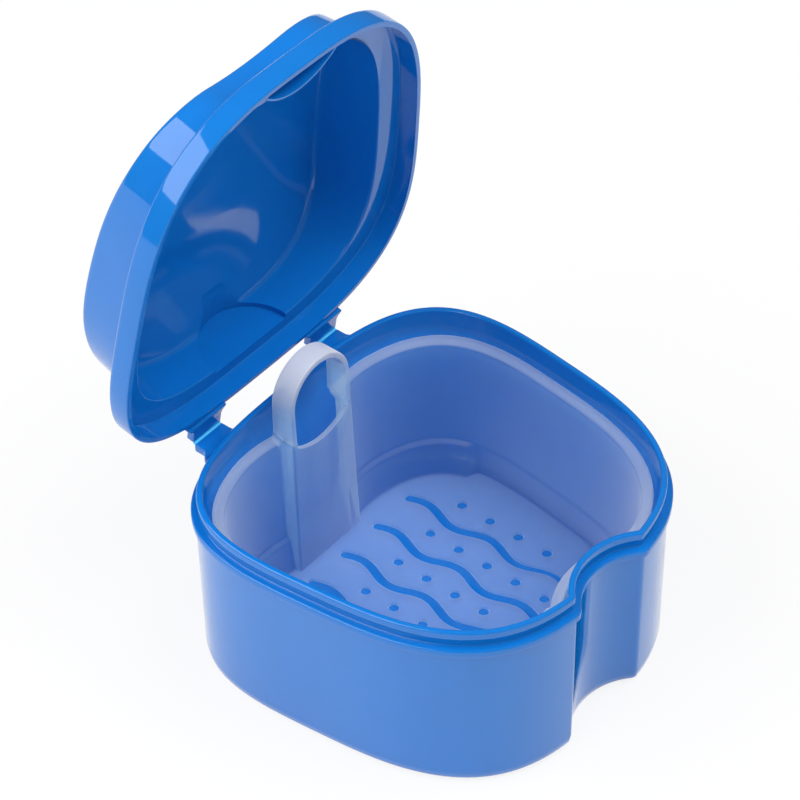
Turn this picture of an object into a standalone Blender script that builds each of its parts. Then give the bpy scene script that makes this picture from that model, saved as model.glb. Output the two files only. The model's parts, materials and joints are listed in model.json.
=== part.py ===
"""Denture case: a deep box with a hinged, domed lid and a lift-out strainer basket. Metres, +Z up.

The middle of the flat bottom is the origin and +Y is the back, where the two film hinges are. The lid stands
open, as it does when the case is in use, and the basket hangs in the box.
"""

import math

import bpy
import bmesh
from mathutils import Matrix, Vector

# Rim outline, seen from above: a rounded shape, a little wider at the back than in front
RIM_HALF_WIDTH = 0.04122
RIM_HALF_DEPTH = 0.04175
SIDE_TAPER_SHARE = 0.115
BACK_POWER = 3.158
FRONT_POWER = 2.989

# Thumb notch, an upright round hollow in the middle of the front
NOTCH_RADIUS = 0.0136
NOTCH_DEPTH = 0.00475
NOTCH_CORNER = 0.0024
NOTCH_CORNER_LEAST = 0.0005

# Box
BASE_DEPTH = 0.0384
FLANGE_THICKNESS = 0.0018
FLANGE_OVERHANG = 0.0008
FLANGE_EDGE = 0.0003
BASE_DRAFT = 0.0004
BOTTOM_ROUND = 0.0030
BASE_FLOOR = 0.0012
BASE_WALL = 0.0016
INNER_ROUND = 0.0022
LIP_INSET = 0.00122
LIP_THICKNESS = 0.0013
LIP_HEIGHT = 0.00365
LIP_ROUND = 0.0004
SNAP_BEAD = 0.0018
SNAP_GROOVE = 0.00045

# Basket
BASKET_SIDE_CLEARANCE = 0.0029
BASKET_END_CLEARANCE = 0.0039
BASKET_NOTCH_CLEARANCE = 0.0034
BASKET_RIM_DROP = 0.0017
BASKET_RIM_WIDTH = 0.0024
BASKET_RIM_SLOPE = 0.0009
BASKET_RIM_EDGE = 0.0008
BASKET_WALL = 0.0010
BASKET_DRAFT = 0.0012
BASKET_FLOOR = 0.0009
BASKET_SEAT_GAP = 0.0003
BASKET_STEP_WIDTH = 0.0013
BASKET_STEP_HEIGHT = 0.0105
BASKET_CORNER = 0.0016

# Raised panel at the back of the basket, open behind, and the handle that grows from it
PANEL_HALF_WIDTH = 0.0092
PANEL_TOP_SETBACK = 0.0115
PANEL_LEAN = 0.0010
PANEL_WALL = 0.0013
HANDLE_HALF_WIDTH = 0.00885
HANDLE_STRAP = 0.0014
HANDLE_DEPTH = 0.0050
HANDLE_LEG_DEPTH = 0.0026
HANDLE_JOG = 0.0012
HANDLE_ARCH_RISE = 0.0063
HANDLE_BACK_CLEARANCE = 0.00545
HANDLE_SPLIT = 0.0003
OPENING_SIDE_DROP = 0.0031
OPENING_MIDDLE_DROP = 0.0064

# Drain slots and holes in the basket's floor
SLOT_COUNT = 5
SLOT_PITCH = 0.01045
SLOT_WIDTH = 0.0021
SLOT_WAVE = 0.0011
SLOT_WAVELENGTH = 0.0165
SLOT_CREST = 0.0220
SLOT_BACK = 0.0260
SLOT_FRONT = 0.0220
SIDE_SLOT_FRONT = 0.0132
SIDE_SLOT_TIP = 0.0014
HOLE_DIAMETER = 0.0022
HOLE_BACK = 0.0162
HOLE_PITCH = 0.0074
HOLE_ROWS = 5
SIDE_HOLE_ROWS = 4

# Lid, given as it lies when shut
LID_OPEN_ANGLE = math.radians(80.97)
SKIRT_OVERHANG = 0.00017
SKIRT_WALL = 0.00112
SKIRT_GAP = 0.00077
SKIRT_HEIGHT = 0.00473
SKIRT_ROUND = 0.0006
LEDGE_THICKNESS = 0.0012
LID_WALL = 0.0012
DOME_SIDE_INSET = 0.0043
DOME_BACK_INSET = 0.0038
DOME_FRONT_INSET = 0.0048
DOME_NOTCH_INSET = 0.0048
DOME_NOTCH_CORNER = 0.0035
DOME_SIDE_DRAFT = 0.0040
DOME_FRONT_DRAFT = 0.0006
DOME_EDGE_ROUND = 0.0010
CROWN_HEIGHT = 0.0205
CROWN_SETBACK = 0.0105
CROWN_FRONT_RADIUS = 0.154
CROWN_BACK_RADIUS = 0.0615
POCKET_CLEARANCE = 0.0018
POCKET_SETBACK = 0.0010
POCKET_SINK = 0.0013
WEB_GAP = 0.0003
WEB_THICKNESS = 0.0014
WEB_INSET = 0.0008

# Hinges
HINGE_SETBACK = 0.00381
HINGE_RISE = 0.00009
HINGE_INNER = 0.0136
HINGE_OUTER = 0.0218
HINGE_FILM_RADIUS = 0.00035
HINGE_GAP = 0.0003
TAB_THICKNESS = 0.0020
TAB_EDGE = 0.0004
TAB_GAP = 0.0003

# How finely the round stretches are drawn
BACK_STEPS = 24
CORNER_STEPS = 3
NOTCH_STEPS = 5
ROUND_STEPS = 3
ARCH_STEPS = 14
HOLE_SIDES = 8
SLOT_STEPS = 16
FILM_SIDES = 8
TABLE_STEPS = 720
CUT_OVERRUN = 0.002
CROWN_SHARES = (0.3, 0.6, 0.85)

# Colours, linear RGB, and roughness
BLUE = (0.011, 0.140, 0.680, 1.0)
FILM_BLUE = (0.050, 0.420, 0.900, 1.0)
FROSTED = (0.480, 0.600, 0.820, 1.0)
GLOSSY = 0.2
MATT = 0.5

# Places worked out from the sizes
FLANGE_TOP = BASE_DEPTH
NOTCH_CENTRE_Y = NOTCH_DEPTH - RIM_HALF_DEPTH - NOTCH_RADIUS
HINGE_Y = RIM_HALF_DEPTH + HINGE_SETBACK
HINGE_Z = FLANGE_TOP + HINGE_RISE
BASKET_RIM_Z = FLANGE_TOP - BASKET_RIM_DROP
BASKET_BOTTOM_Z = BASE_FLOOR + BASKET_SEAT_GAP
BASKET_FLOOR_Z = BASKET_BOTTOM_Z + BASKET_FLOOR
BASKET_STEP_Z = BASKET_FLOOR_Z + BASKET_STEP_HEIGHT
BASKET_HALF_DEPTH = RIM_HALF_DEPTH - BASKET_END_CLEARANCE
HANDLE_BACK_Y = RIM_HALF_DEPTH - HANDLE_BACK_CLEARANCE
HANDLE_FRONT_Y = HANDLE_BACK_Y - HANDLE_DEPTH
HANDLE_CENTRE_Z = FLANGE_TOP + HANDLE_ARCH_RISE
PANEL_FRONT_Y = RIM_HALF_DEPTH - PANEL_TOP_SETBACK
SKIRT_BOTTOM_Z = FLANGE_TOP + SKIRT_GAP
SKIRT_TOP_Z = SKIRT_BOTTOM_Z + SKIRT_HEIGHT
LEDGE_UNDER_Z = SKIRT_TOP_Z - LEDGE_THICKNESS
POCKET_FRONT_Y = HANDLE_FRONT_Y - POCKET_CLEARANCE


class Outline:
    """The right half of a rounded outline, with a table of lengths so that points can be spaced evenly."""

    def __init__(self, half_width, back_depth, front_depth):
        self.half_width = half_width
        self.back_depth = back_depth
        self.front_depth = front_depth
        self.turns = [math.pi * i / TABLE_STEPS for i in range(TABLE_STEPS + 1)]
        points = [self.point(turn) for turn in self.turns]
        self.lengths = [0.0]
        for before, after in zip(points, points[1:]):
            self.lengths.append(self.lengths[-1] + (after - before).length)

    def point(self, turn):
        """The place at a turn of 0 (middle of the back) to pi (middle of the front)."""
        along = math.cos(turn)
        across = abs(math.sin(turn))
        depth, power = (self.back_depth, BACK_POWER) if along > 0 else (self.front_depth, FRONT_POWER)
        y = math.copysign(depth * abs(along) ** (2 / power), along)
        x = (self.half_width + SIDE_TAPER_SHARE * y) * across ** (2 / power)
        return Vector((x, y))

    def inward(self, turn):
        """The unit direction square to the outline, pointing into the shape."""
        step = math.pi / TABLE_STEPS
        low = max(turn - step, 0.0)
        high = min(turn + step, math.pi)
        ahead = self.point(high) - self.point(low)
        if turn <= 0:
            ahead = Vector((1, 0))
        if turn >= math.pi:
            ahead = Vector((-1, 0))
        return Vector((ahead.y, -ahead.x)).normalized()

    def inset_point(self, turn, inset):
        return self.point(turn) + inset * self.inward(turn)

    def turn_at(self, length):
        """The turn at a length along the outline from the middle of the back."""
        low = 0
        high = TABLE_STEPS
        while high - low > 1:
            middle = (low + high) // 2
            if self.lengths[middle] > length:
                high = middle
            else:
                low = middle
        span = self.lengths[high] - self.lengths[low]
        share = (length - self.lengths[low]) / span
        return self.turns[low] + share * (self.turns[high] - self.turns[low])

    def length_at(self, turn):
        place = turn / math.pi * TABLE_STEPS
        low = min(int(place), TABLE_STEPS - 1)
        return self.lengths[low] + (place - low) * (self.lengths[low + 1] - self.lengths[low])


def notch_meeting(outline, inset, notch_inset, corner):
    """The turn at which a corner round of this radius touches both the inset outline and the notch."""
    centre = Vector((0, NOTCH_CENTRE_Y))
    reach = NOTCH_RADIUS + notch_inset + corner
    low = math.pi / 2
    high = math.pi
    for _ in range(50):
        middle = (low + high) / 2
        if (outline.inset_point(middle, inset + corner) - centre).length > reach:
            low = middle
        else:
            high = middle
    return (low + high) / 2


def arc_points(centre, start, end, steps):
    """Points after the start of the shorter arc about the centre, up to its end."""
    first = math.atan2(start.y - centre.y, start.x - centre.x)
    turn = math.remainder(math.atan2(end.y - centre.y, end.x - centre.x) - first, 2 * math.pi)
    radius = (start - centre).length
    angles = [first + turn * i / steps for i in range(1, steps + 1)]
    return [centre + radius * Vector((math.cos(angle), math.sin(angle))) for angle in angles]


def right_half(outline, inset, notch_inset, corner, notched):
    """Points of one level from the middle of the back, round the right side, to the middle of the front."""
    corner = max(corner, NOTCH_CORNER_LEAST)
    turn = notch_meeting(outline, inset, notch_inset, corner)
    reach = outline.length_at(turn)
    turns = [outline.turn_at(reach * i / BACK_STEPS) for i in range(BACK_STEPS)] + [turn]
    points = [outline.inset_point(t, inset) for t in turns]
    if notched:
        centre = Vector((0, NOTCH_CENTRE_Y))
        round_centre = outline.inset_point(turn, inset + corner)
        touch = centre + (round_centre - centre).normalized() * (NOTCH_RADIUS + notch_inset)
        deepest = centre + Vector((0, NOTCH_RADIUS + notch_inset))
        points += arc_points(round_centre, points[-1], touch, CORNER_STEPS)
        points += arc_points(centre, touch, deepest, NOTCH_STEPS)
    else:
        rest = outline.lengths[-1] - reach
        steps = CORNER_STEPS + NOTCH_STEPS
        turns = [outline.turn_at(reach + rest * i / steps) for i in range(1, steps)] + [math.pi]
        points += [outline.inset_point(t, inset) for t in turns]
    points[0].x = 0
    points[-1].x = 0
    return points


def ring(outline, inset, height, notch_inset=None, corner=None, notched=True):
    """One closed level of a moulding. The height is a number, or a function of the place."""
    notch_inset = inset if notch_inset is None else notch_inset
    corner = NOTCH_CORNER - notch_inset if corner is None else corner
    half = right_half(outline, inset, notch_inset, corner, notched)
    flat = half + [Vector((-p.x, p.y)) for p in reversed(half[1:-1])]
    rise = height if callable(height) else lambda p: height
    return [Vector((p.x, p.y, rise(p))) for p in flat]


def plain_ring(outline, inset, height):
    """A level that runs straight across the thumb notch, with as many points as a notched one."""
    return ring(outline, inset, height, 0, NOTCH_CORNER, False)


def round_levels(radius):
    """Pairs (inset, rise) round the edge between a flat bottom and an upright wall, from the bottom up."""
    angles = [math.pi / 2 * i / ROUND_STEPS for i in range(ROUND_STEPS + 1)]
    return [(radius * (1 - math.sin(angle)), radius * (1 - math.cos(angle))) for angle in angles]


def finish(name, mesh_builder, material, sharp_degrees=35):
    """Turn a bmesh into a named object with outward faces, its material and smooth round sides."""
    bmesh.ops.recalc_face_normals(mesh_builder, faces=mesh_builder.faces)
    mesh = bpy.data.meshes.new(name)
    mesh_builder.to_mesh(mesh)
    mesh_builder.free()
    mesh.shade_smooth()
    mesh.set_sharp_from_angle(angle=math.radians(sharp_degrees))
    mesh.materials.append(material)
    obj = bpy.data.objects.new(name, mesh)
    bpy.context.scene.collection.objects.link(obj)
    return obj


def skin(rings, start_centre=None):
    """Skin a stack of closed rings and fill both ends flat, or the first as a fan about a centre."""
    builder = bmesh.new()
    levels = [[builder.verts.new(p) for p in level] for level in rings]
    count = len(levels[0])
    for lower, upper in zip(levels, levels[1:]):
        for i in range(count):
            j = (i + 1) % count
            builder.faces.new((lower[i], lower[j], upper[j], upper[i]))
    builder.faces.new(levels[-1])
    if start_centre is None:
        builder.faces.new(levels[0])
        return builder
    hub = builder.verts.new(start_centre)
    for i in range(count):
        builder.faces.new((levels[0][i], levels[0][(i + 1) % count], hub))
    return builder


def add_prism(builder, points, direction):
    """Extrude a flat loop of points along a direction as one more closed body."""
    near = [builder.verts.new(p) for p in points]
    far = [builder.verts.new(Vector(p) + direction) for p in points]
    count = len(points)
    builder.faces.new(near)
    builder.faces.new(list(reversed(far)))
    for i in range(count):
        j = (i + 1) % count
        builder.faces.new((near[j], near[i], far[i], far[j]))


def prism(points, direction):
    builder = bmesh.new()
    add_prism(builder, points, direction)
    return builder


def cutter(name, builder):
    """An object that only cuts or joins others."""
    bmesh.ops.recalc_face_normals(builder, faces=builder.faces)
    mesh = bpy.data.meshes.new(name)
    builder.to_mesh(mesh)
    builder.free()
    obj = bpy.data.objects.new(name, mesh)
    bpy.context.scene.collection.objects.link(obj)
    obj.hide_render = True
    obj.display_type = "WIRE"
    return obj


def boolean(obj, operation, tool):
    modifier = obj.modifiers.new(tool.name, "BOOLEAN")
    modifier.operation = operation
    modifier.solver = "EXACT"
    modifier.object = tool


def plastic(name, colour, roughness):
    """A moulded plastic with one colour and gloss."""
    material = bpy.data.materials.new(name)
    material.use_nodes = True
    shader = material.node_tree.nodes["Principled BSDF"]
    shader.inputs["Base Color"].default_value = colour
    shader.inputs["Roughness"].default_value = roughness
    shader.inputs["Metallic"].default_value = 0
    material.diffuse_color = colour
    return material


def clear_scene():
    for obj in list(bpy.data.objects):
        bpy.data.objects.remove(obj, do_unlink=True)


def base_levels(outline):
    """Levels of the box from the middle of its underside, up the outside, over the lip and down inside."""
    wall_foot = FLANGE_OVERHANG + BASE_DRAFT
    inner_foot = wall_foot + BASE_WALL
    lip_top = FLANGE_TOP + LIP_HEIGHT
    groove = LIP_INSET + SNAP_GROOVE
    bead_foot = lip_top - SNAP_BEAD
    levels = [(wall_foot + inset, rise) for inset, rise in round_levels(BOTTOM_ROUND)]
    levels += [
        (FLANGE_OVERHANG, FLANGE_TOP - FLANGE_THICKNESS),
        (0, FLANGE_TOP - FLANGE_THICKNESS),
        (0, FLANGE_TOP - FLANGE_EDGE),
        (FLANGE_EDGE, FLANGE_TOP),
        (groove, FLANGE_TOP),
        (groove, bead_foot - SNAP_GROOVE),
        (LIP_INSET, bead_foot),
        (LIP_INSET, lip_top - LIP_ROUND),
        (LIP_INSET + LIP_ROUND, lip_top),
        (LIP_INSET + LIP_THICKNESS - LIP_ROUND, lip_top),
        (LIP_INSET + LIP_THICKNESS, lip_top - LIP_ROUND),
    ]
    levels += [(inner_foot + inset, BASE_FLOOR + rise) for inset, rise in reversed(round_levels(INNER_ROUND))]
    return [ring(outline, inset, height) for inset, height in levels]


def make_base_tub(outline, material):
    return finish("base_tub", skin(base_levels(outline)), material)


def basket_outer_levels(outline):
    """Levels of the basket's outside from its underside up to its rim's outer edge."""
    wall = BASKET_RIM_WIDTH - BASKET_WALL
    foot = wall + BASKET_DRAFT + BASKET_STEP_WIDTH
    levels = [
        (foot + BASKET_CORNER, BASKET_BOTTOM_Z),
        (foot, BASKET_BOTTOM_Z + BASKET_CORNER),
        (foot, BASKET_STEP_Z - BASKET_WALL),
        (foot - BASKET_STEP_WIDTH, BASKET_STEP_Z - BASKET_WALL),
        (wall, BASKET_RIM_Z - BASKET_RIM_SLOPE - BASKET_WALL),
        (0, BASKET_RIM_Z - BASKET_RIM_EDGE),
        (0, BASKET_RIM_Z),
    ]
    return [basket_ring(outline, inset, height) for inset, height in levels]


def basket_inner_levels(outline):
    """Levels of the hollow from its floor up past the rim."""
    foot = BASKET_RIM_WIDTH + BASKET_DRAFT + BASKET_STEP_WIDTH
    slope = BASKET_RIM_SLOPE / BASKET_RIM_WIDTH
    levels = [
        (foot + BASKET_CORNER, BASKET_FLOOR_Z),
        (foot, BASKET_FLOOR_Z + BASKET_CORNER),
        (foot, BASKET_STEP_Z),
        (foot - BASKET_STEP_WIDTH, BASKET_STEP_Z),
        (BASKET_RIM_WIDTH, BASKET_RIM_Z - BASKET_RIM_SLOPE),
        (-CUT_OVERRUN, BASKET_RIM_Z + slope * CUT_OVERRUN),
    ]
    return [basket_ring(outline, inset, height) for inset, height in levels]


def basket_ring(outline, inset, height):
    return ring(outline, inset, height, inset + BASKET_NOTCH_CLEARANCE)


def panel_block(name, half_width, depth):
    """A block from the panel's leaning face, or from this far behind it, to the back of the rim."""
    low = BASKET_BOTTOM_Z - CUT_OVERRUN
    high = BASKET_RIM_Z + CUT_OVERRUN
    points = [
        (-half_width, panel_face_y(low) + depth, low),
        (-half_width, panel_face_y(high) + depth, high),
        (-half_width, RIM_HALF_DEPTH, high),
        (-half_width, RIM_HALF_DEPTH, low),
    ]
    return cutter(name, prism(points, Vector((2 * half_width, 0, 0))))


def panel_face_y(height):
    """Y of the panel's face at a height."""
    share = (height - BASKET_FLOOR_Z) / (BASKET_RIM_Z - BASKET_FLOOR_Z)
    return PANEL_FRONT_Y - PANEL_LEAN * (1 - share)


def make_basket(outline, material):
    """The tray: outer shape, less its hollow, less the channel behind the panel, with slots and holes."""
    basket = finish("strainer_basket", skin(basket_outer_levels(outline)), material)
    hollow = cutter("basket_hollow", skin(basket_inner_levels(outline)))
    boolean(hollow, "DIFFERENCE", panel_block("panel_block", PANEL_HALF_WIDTH, 0))
    boolean(basket, "DIFFERENCE", hollow)
    boolean(basket, "DIFFERENCE", panel_block("panel_channel", PANEL_HALF_WIDTH - PANEL_WALL, PANEL_WALL))
    boolean(basket, "DIFFERENCE", opening_cutter())
    boolean(basket, "DIFFERENCE", drain_cutter())
    return basket


def opening_cutter():
    """The round bottom edge of the handle's opening, cut through the panel's top."""
    half = HANDLE_HALF_WIDTH - HANDLE_STRAP
    sag = OPENING_MIDDLE_DROP - OPENING_SIDE_DROP
    radius = (half ** 2 + sag ** 2) / (2 * sag)
    centre_z = FLANGE_TOP - OPENING_MIDDLE_DROP + radius
    span = math.asin(half / radius)
    points = []
    for i in range(ARCH_STEPS + 1):
        angle = span * (2 * i / ARCH_STEPS - 1)
        points.append((radius * math.sin(angle), 0, centre_z - radius * math.cos(angle)))
    top = FLANGE_TOP + CUT_OVERRUN
    points += [(half, 0, top), (-half, 0, top)]
    return cutter("opening_cutter", prism(points, Vector((0, RIM_HALF_DEPTH, 0))))


def slot_outline(middle, front, front_width):
    """One wavy slot with square ends, seen from above. Its width narrows from half way to its front end."""
    left = []
    right = []
    for i in range(SLOT_STEPS + 1):
        share = i / SLOT_STEPS
        y = SLOT_BACK + (front - SLOT_BACK) * share
        phase = 2 * math.pi * (y - SLOT_CREST) / SLOT_WAVELENGTH
        x = middle + SLOT_WAVE * math.cos(phase)
        slope = -SLOT_WAVE * 2 * math.pi / SLOT_WAVELENGTH * math.sin(phase)
        width = SLOT_WIDTH + (front_width - SLOT_WIDTH) * max(2 * share - 1, 0)
        aside = Vector((1, -slope)).normalized() * width / 2
        right.append((x + aside.x, y + aside.y))
        left.append((x - aside.x, y - aside.y))
    return right + list(reversed(left))


def drain_cutter():
    """All the slots and holes of the basket's floor as one set of separate prisms."""
    builder = bmesh.new()
    low = BASKET_BOTTOM_Z - CUT_OVERRUN
    rise = Vector((0, 0, BASKET_FLOOR + 2 * CUT_OVERRUN))
    reach = (SLOT_COUNT - 1) // 2
    for i in range(-reach, reach + 1):
        outermost = abs(i) == reach
        front = -SIDE_SLOT_FRONT if outermost else -SLOT_FRONT
        width = SIDE_SLOT_TIP if outermost else SLOT_WIDTH
        add_prism(builder, [(x, y, low) for x, y in slot_outline(i * SLOT_PITCH, front, width)], rise)
    for i in range(-reach - 1, reach + 1):
        outermost = i in (-reach - 1, reach)
        rows = SIDE_HOLE_ROWS if outermost else HOLE_ROWS
        for row in range(rows):
            centre = Vector(((i + 0.5) * SLOT_PITCH, HOLE_BACK - row * HOLE_PITCH, low))
            add_prism(builder, circle_points(centre, HOLE_DIAMETER / 2, HOLE_SIDES), rise)
    return cutter("drain_cutter", builder)


def circle_points(centre, radius, sides):
    angles = [2 * math.pi * i / sides for i in range(sides)]
    return [centre + radius * Vector((math.cos(a), math.sin(a), 0)) for a in angles]


def make_handle(material):
    """The arched strap above the basket's rim: two legs and a half-round top."""
    foot = BASKET_RIM_Z + HANDLE_SPLIT
    outer = HANDLE_HALF_WIDTH
    inner = HANDLE_HALF_WIDTH - HANDLE_STRAP
    outside = [(outer, foot)] + arch_points(outer)
    outside.append((-outer, foot))
    inside = [(inner, foot)] + arch_points(inner)
    inside.append((-inner, foot))
    builder = bmesh.new()
    rails = []
    for profile in (outside, inside):
        for y in (HANDLE_FRONT_Y, HANDLE_BACK_Y):
            rails.append([builder.verts.new((x, y, z)) for x, z in profile])
    outer_front, outer_back, inner_front, inner_back = rails
    for i in range(len(outside) - 1):
        builder.faces.new((outer_front[i], outer_front[i + 1], outer_back[i + 1], outer_back[i]))
        builder.faces.new((inner_back[i], inner_back[i + 1], inner_front[i + 1], inner_front[i]))
        builder.faces.new((inner_front[i], inner_front[i + 1], outer_front[i + 1], outer_front[i]))
        builder.faces.new((outer_back[i], outer_back[i + 1], inner_back[i + 1], inner_back[i]))
    for i in (0, len(outside) - 1):
        builder.faces.new((outer_front[i], outer_back[i], inner_back[i], inner_front[i]))
    handle = finish("basket_handle", builder, material)
    boolean(handle, "DIFFERENCE", leg_cutter())
    return handle


def arch_points(radius):
    angles = [math.pi * i / ARCH_STEPS for i in range(ARCH_STEPS + 1)]
    return [(radius * math.cos(a), HANDLE_CENTRE_Z + radius * math.sin(a)) for a in angles]


def leg_cutter():
    """Cuts the backs of the legs away below the jog, where the leg narrows to the basket's wall."""
    wide = HANDLE_HALF_WIDTH + CUT_OVERRUN
    low = BASKET_RIM_Z - CUT_OVERRUN
    high = FLANGE_TOP - HANDLE_JOG + HANDLE_SPLIT
    front = HANDLE_FRONT_Y + HANDLE_LEG_DEPTH
    points = [(-wide, front, low), (wide, front, low), (wide, front, high), (-wide, front, high)]
    return cutter("leg_cutter", prism(points, Vector((0, HANDLE_DEPTH, 0))))


def crown_z(y):
    """Height of the lid's crowned top at a place along Y."""
    radius = CROWN_FRONT_RADIUS if y < CROWN_SETBACK else CROWN_BACK_RADIUS
    return FLANGE_TOP + CROWN_HEIGHT - (y - CROWN_SETBACK) ** 2 / (2 * radius)


def dome_ring(outline, inset, height):
    """A level of the dome, whose notch has wider corner rounds than the rim's."""
    return ring(outline, inset, height, DOME_NOTCH_INSET + inset, DOME_NOTCH_CORNER - inset)


def crown_rings(edge, drop):
    """Smaller copies of the dome's edge that lie on the crowned top, the smallest first."""
    levels = []
    for share in CROWN_SHARES:
        levels.append([Vector((p.x * share, p.y * share, crown_z(p.y * share) - drop)) for p in edge])
    return levels


def make_lid_shell(rim, material):
    """Skirt, ledge and crowned dome, with a hump at the back for the handle: the outside less the inside."""
    foot = Outline(RIM_HALF_WIDTH - DOME_SIDE_INSET, RIM_HALF_DEPTH - DOME_BACK_INSET,
                   RIM_HALF_DEPTH - DOME_FRONT_INSET)
    top = Outline(RIM_HALF_WIDTH - DOME_SIDE_INSET - DOME_SIDE_DRAFT, RIM_HALF_DEPTH - DOME_BACK_INSET,
                  RIM_HALF_DEPTH - DOME_FRONT_INSET - DOME_FRONT_DRAFT)
    outer_edge = dome_ring(top, DOME_EDGE_ROUND, lambda p: crown_z(p.y))
    outside = crown_rings(outer_edge, 0) + [
        outer_edge,
        dome_ring(top, 0, lambda p: crown_z(p.y) - DOME_EDGE_ROUND),
        dome_ring(foot, 0, SKIRT_TOP_Z),
        plain_ring(rim, SKIRT_ROUND - SKIRT_OVERHANG, SKIRT_TOP_Z),
        plain_ring(rim, -SKIRT_OVERHANG, SKIRT_TOP_Z - SKIRT_ROUND),
        plain_ring(rim, -SKIRT_OVERHANG, SKIRT_BOTTOM_Z),
    ]
    inner_edge = dome_ring(top, LID_WALL, lambda p: crown_z(p.y) - LID_WALL)
    inset = SKIRT_WALL - SKIRT_OVERHANG
    inside = crown_rings(inner_edge, LID_WALL) + [
        inner_edge,
        dome_ring(foot, LID_WALL, LEDGE_UNDER_Z),
        plain_ring(rim, inset, LEDGE_UNDER_Z),
        plain_ring(rim, inset, SKIRT_BOTTOM_Z - CUT_OVERRUN),
    ]
    lid = finish("lid_shell", skin(outside, (0, 0, crown_z(0))), material)
    hollow = cutter("lid_hollow", skin(inside, (0, 0, crown_z(0) - LID_WALL)))
    boolean(lid, "UNION", pocket_tool("pocket_hump", LID_WALL))
    boolean(hollow, "UNION", pocket_tool("pocket_hollow", 0))
    boolean(lid, "DIFFERENCE", hollow)
    return lid


def pocket_tool(name, growth):
    """A half-round bar along Y over the handle's arch, as the pocket or, grown by its wall, as its hump."""
    radius = HANDLE_HALF_WIDTH + POCKET_CLEARANCE + growth
    back = RIM_HALF_DEPTH - DOME_BACK_INSET + POCKET_SETBACK - LID_WALL + growth
    low = LEDGE_UNDER_Z if growth == 0 else LEDGE_UNDER_Z + LEDGE_THICKNESS / 2
    angles = [math.pi * i / ARCH_STEPS for i in range(ARCH_STEPS + 1)]
    centre_z = HANDLE_CENTRE_Z - POCKET_SINK
    points = [(radius * math.cos(a), POCKET_FRONT_Y, centre_z + radius * math.sin(a)) for a in angles]
    points += [(-radius, POCKET_FRONT_Y, low), (radius, POCKET_FRONT_Y, low)]
    return cutter(name, prism(points, Vector((0, back - POCKET_FRONT_Y, 0))))


def make_notch_web(rim, material):
    """The crescent across the thumb notch, between the skirt and the outside of the box's lip."""
    inset = SKIRT_WALL - SKIRT_OVERHANG + WEB_GAP
    tip_turn = notch_meeting(rim, inset, WEB_INSET, 0)
    centre = Vector((0, NOTCH_CENTRE_Y))
    tip = rim.inset_point(tip_turn, inset)
    deepest = centre + Vector((0, NOTCH_RADIUS + WEB_INSET))
    inner = [tip] + arc_points(centre, tip, deepest, NOTCH_STEPS)
    outer = []
    for i in range(1, NOTCH_STEPS + 1):
        outer.append(rim.inset_point(tip_turn + (math.pi - tip_turn) * i / NOTCH_STEPS, inset))
    outer[-1].x = 0
    half = inner[:-1] + [deepest] + [Vector((-p.x, p.y)) for p in reversed(inner[:-1])]
    half += [Vector((-p.x, p.y)) for p in outer[:-1]] + list(reversed(outer))
    loop = [Vector((p.x, p.y, SKIRT_BOTTOM_Z)) for p in half]
    return finish("lid_notch_web", prism(loop, Vector((0, 0, WEB_THICKNESS))), material)


def tab_profile(start, end, side):
    """Side view of a hinge tab, (y, z), from the rim to the film. Side is 1 on the lid and -1 on the box."""
    near = HINGE_Z + side * TAB_GAP / 2
    far = HINGE_Z + side * TAB_THICKNESS
    return [
        (start, near),
        (end - TAB_EDGE, near),
        (end, near + side * TAB_EDGE),
        (end, far - side * TAB_EDGE),
        (end - TAB_EDGE, far),
        (start, far),
    ]


def make_tab(name, centre_x, start, end, side, material):
    half = (HINGE_OUTER - HINGE_INNER) / 2
    points = [(centre_x - half, y, z) for y, z in tab_profile(start, end, side)]
    return finish(name, prism(points, Vector((2 * half, 0, 0))), material)


def make_film(name, centre_x, material):
    """The hinge film, a slim rod on the hinge line."""
    half = (HINGE_OUTER - HINGE_INNER) / 2
    builder = bmesh.new()
    bmesh.ops.create_cone(builder, cap_ends=True, segments=FILM_SIDES, radius1=HINGE_FILM_RADIUS,
                          radius2=HINGE_FILM_RADIUS, depth=2 * half,
                          matrix=Matrix.Translation((centre_x, HINGE_Y, HINGE_Z))
                          @ Matrix.Rotation(math.pi / 2, 4, "Y"))
    return finish(name, builder, material)


def make_hinges(blue, flexed):
    """Both hinges: a tab on the box, a tab on the lid and the film between them."""
    lid_tabs = []
    end = HINGE_Y - HINGE_FILM_RADIUS - HINGE_GAP
    base_start = RIM_HALF_DEPTH + HINGE_GAP
    lid_start = base_start + SKIRT_OVERHANG
    for word, side in (("left", -1), ("right", 1)):
        centre_x = side * (HINGE_INNER + HINGE_OUTER) / 2
        make_tab("base_hinge_tab_" + word, centre_x, base_start, end, -1, blue)
        make_film("hinge_film_" + word, centre_x, flexed)
        lid_tabs.append(make_tab("lid_hinge_tab_" + word, centre_x, lid_start, end, 1, blue))
    return lid_tabs


def hang_lid(pieces):
    """Put the lid's pieces, and what cuts them, on an empty on the hinge line and swing them open."""
    pivot = bpy.data.objects.new("lid_pivot", None)
    bpy.context.scene.collection.objects.link(pivot)
    pivot.location = (0, HINGE_Y, HINGE_Z)
    pivot.rotation_euler = (-LID_OPEN_ANGLE, 0, 0)
    waiting = list(pieces)
    while waiting:
        piece = waiting.pop()
        piece.data.transform(Matrix.Translation((0, -HINGE_Y, -HINGE_Z)))
        piece.parent = pivot
        waiting += [modifier.object for modifier in piece.modifiers]


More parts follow.
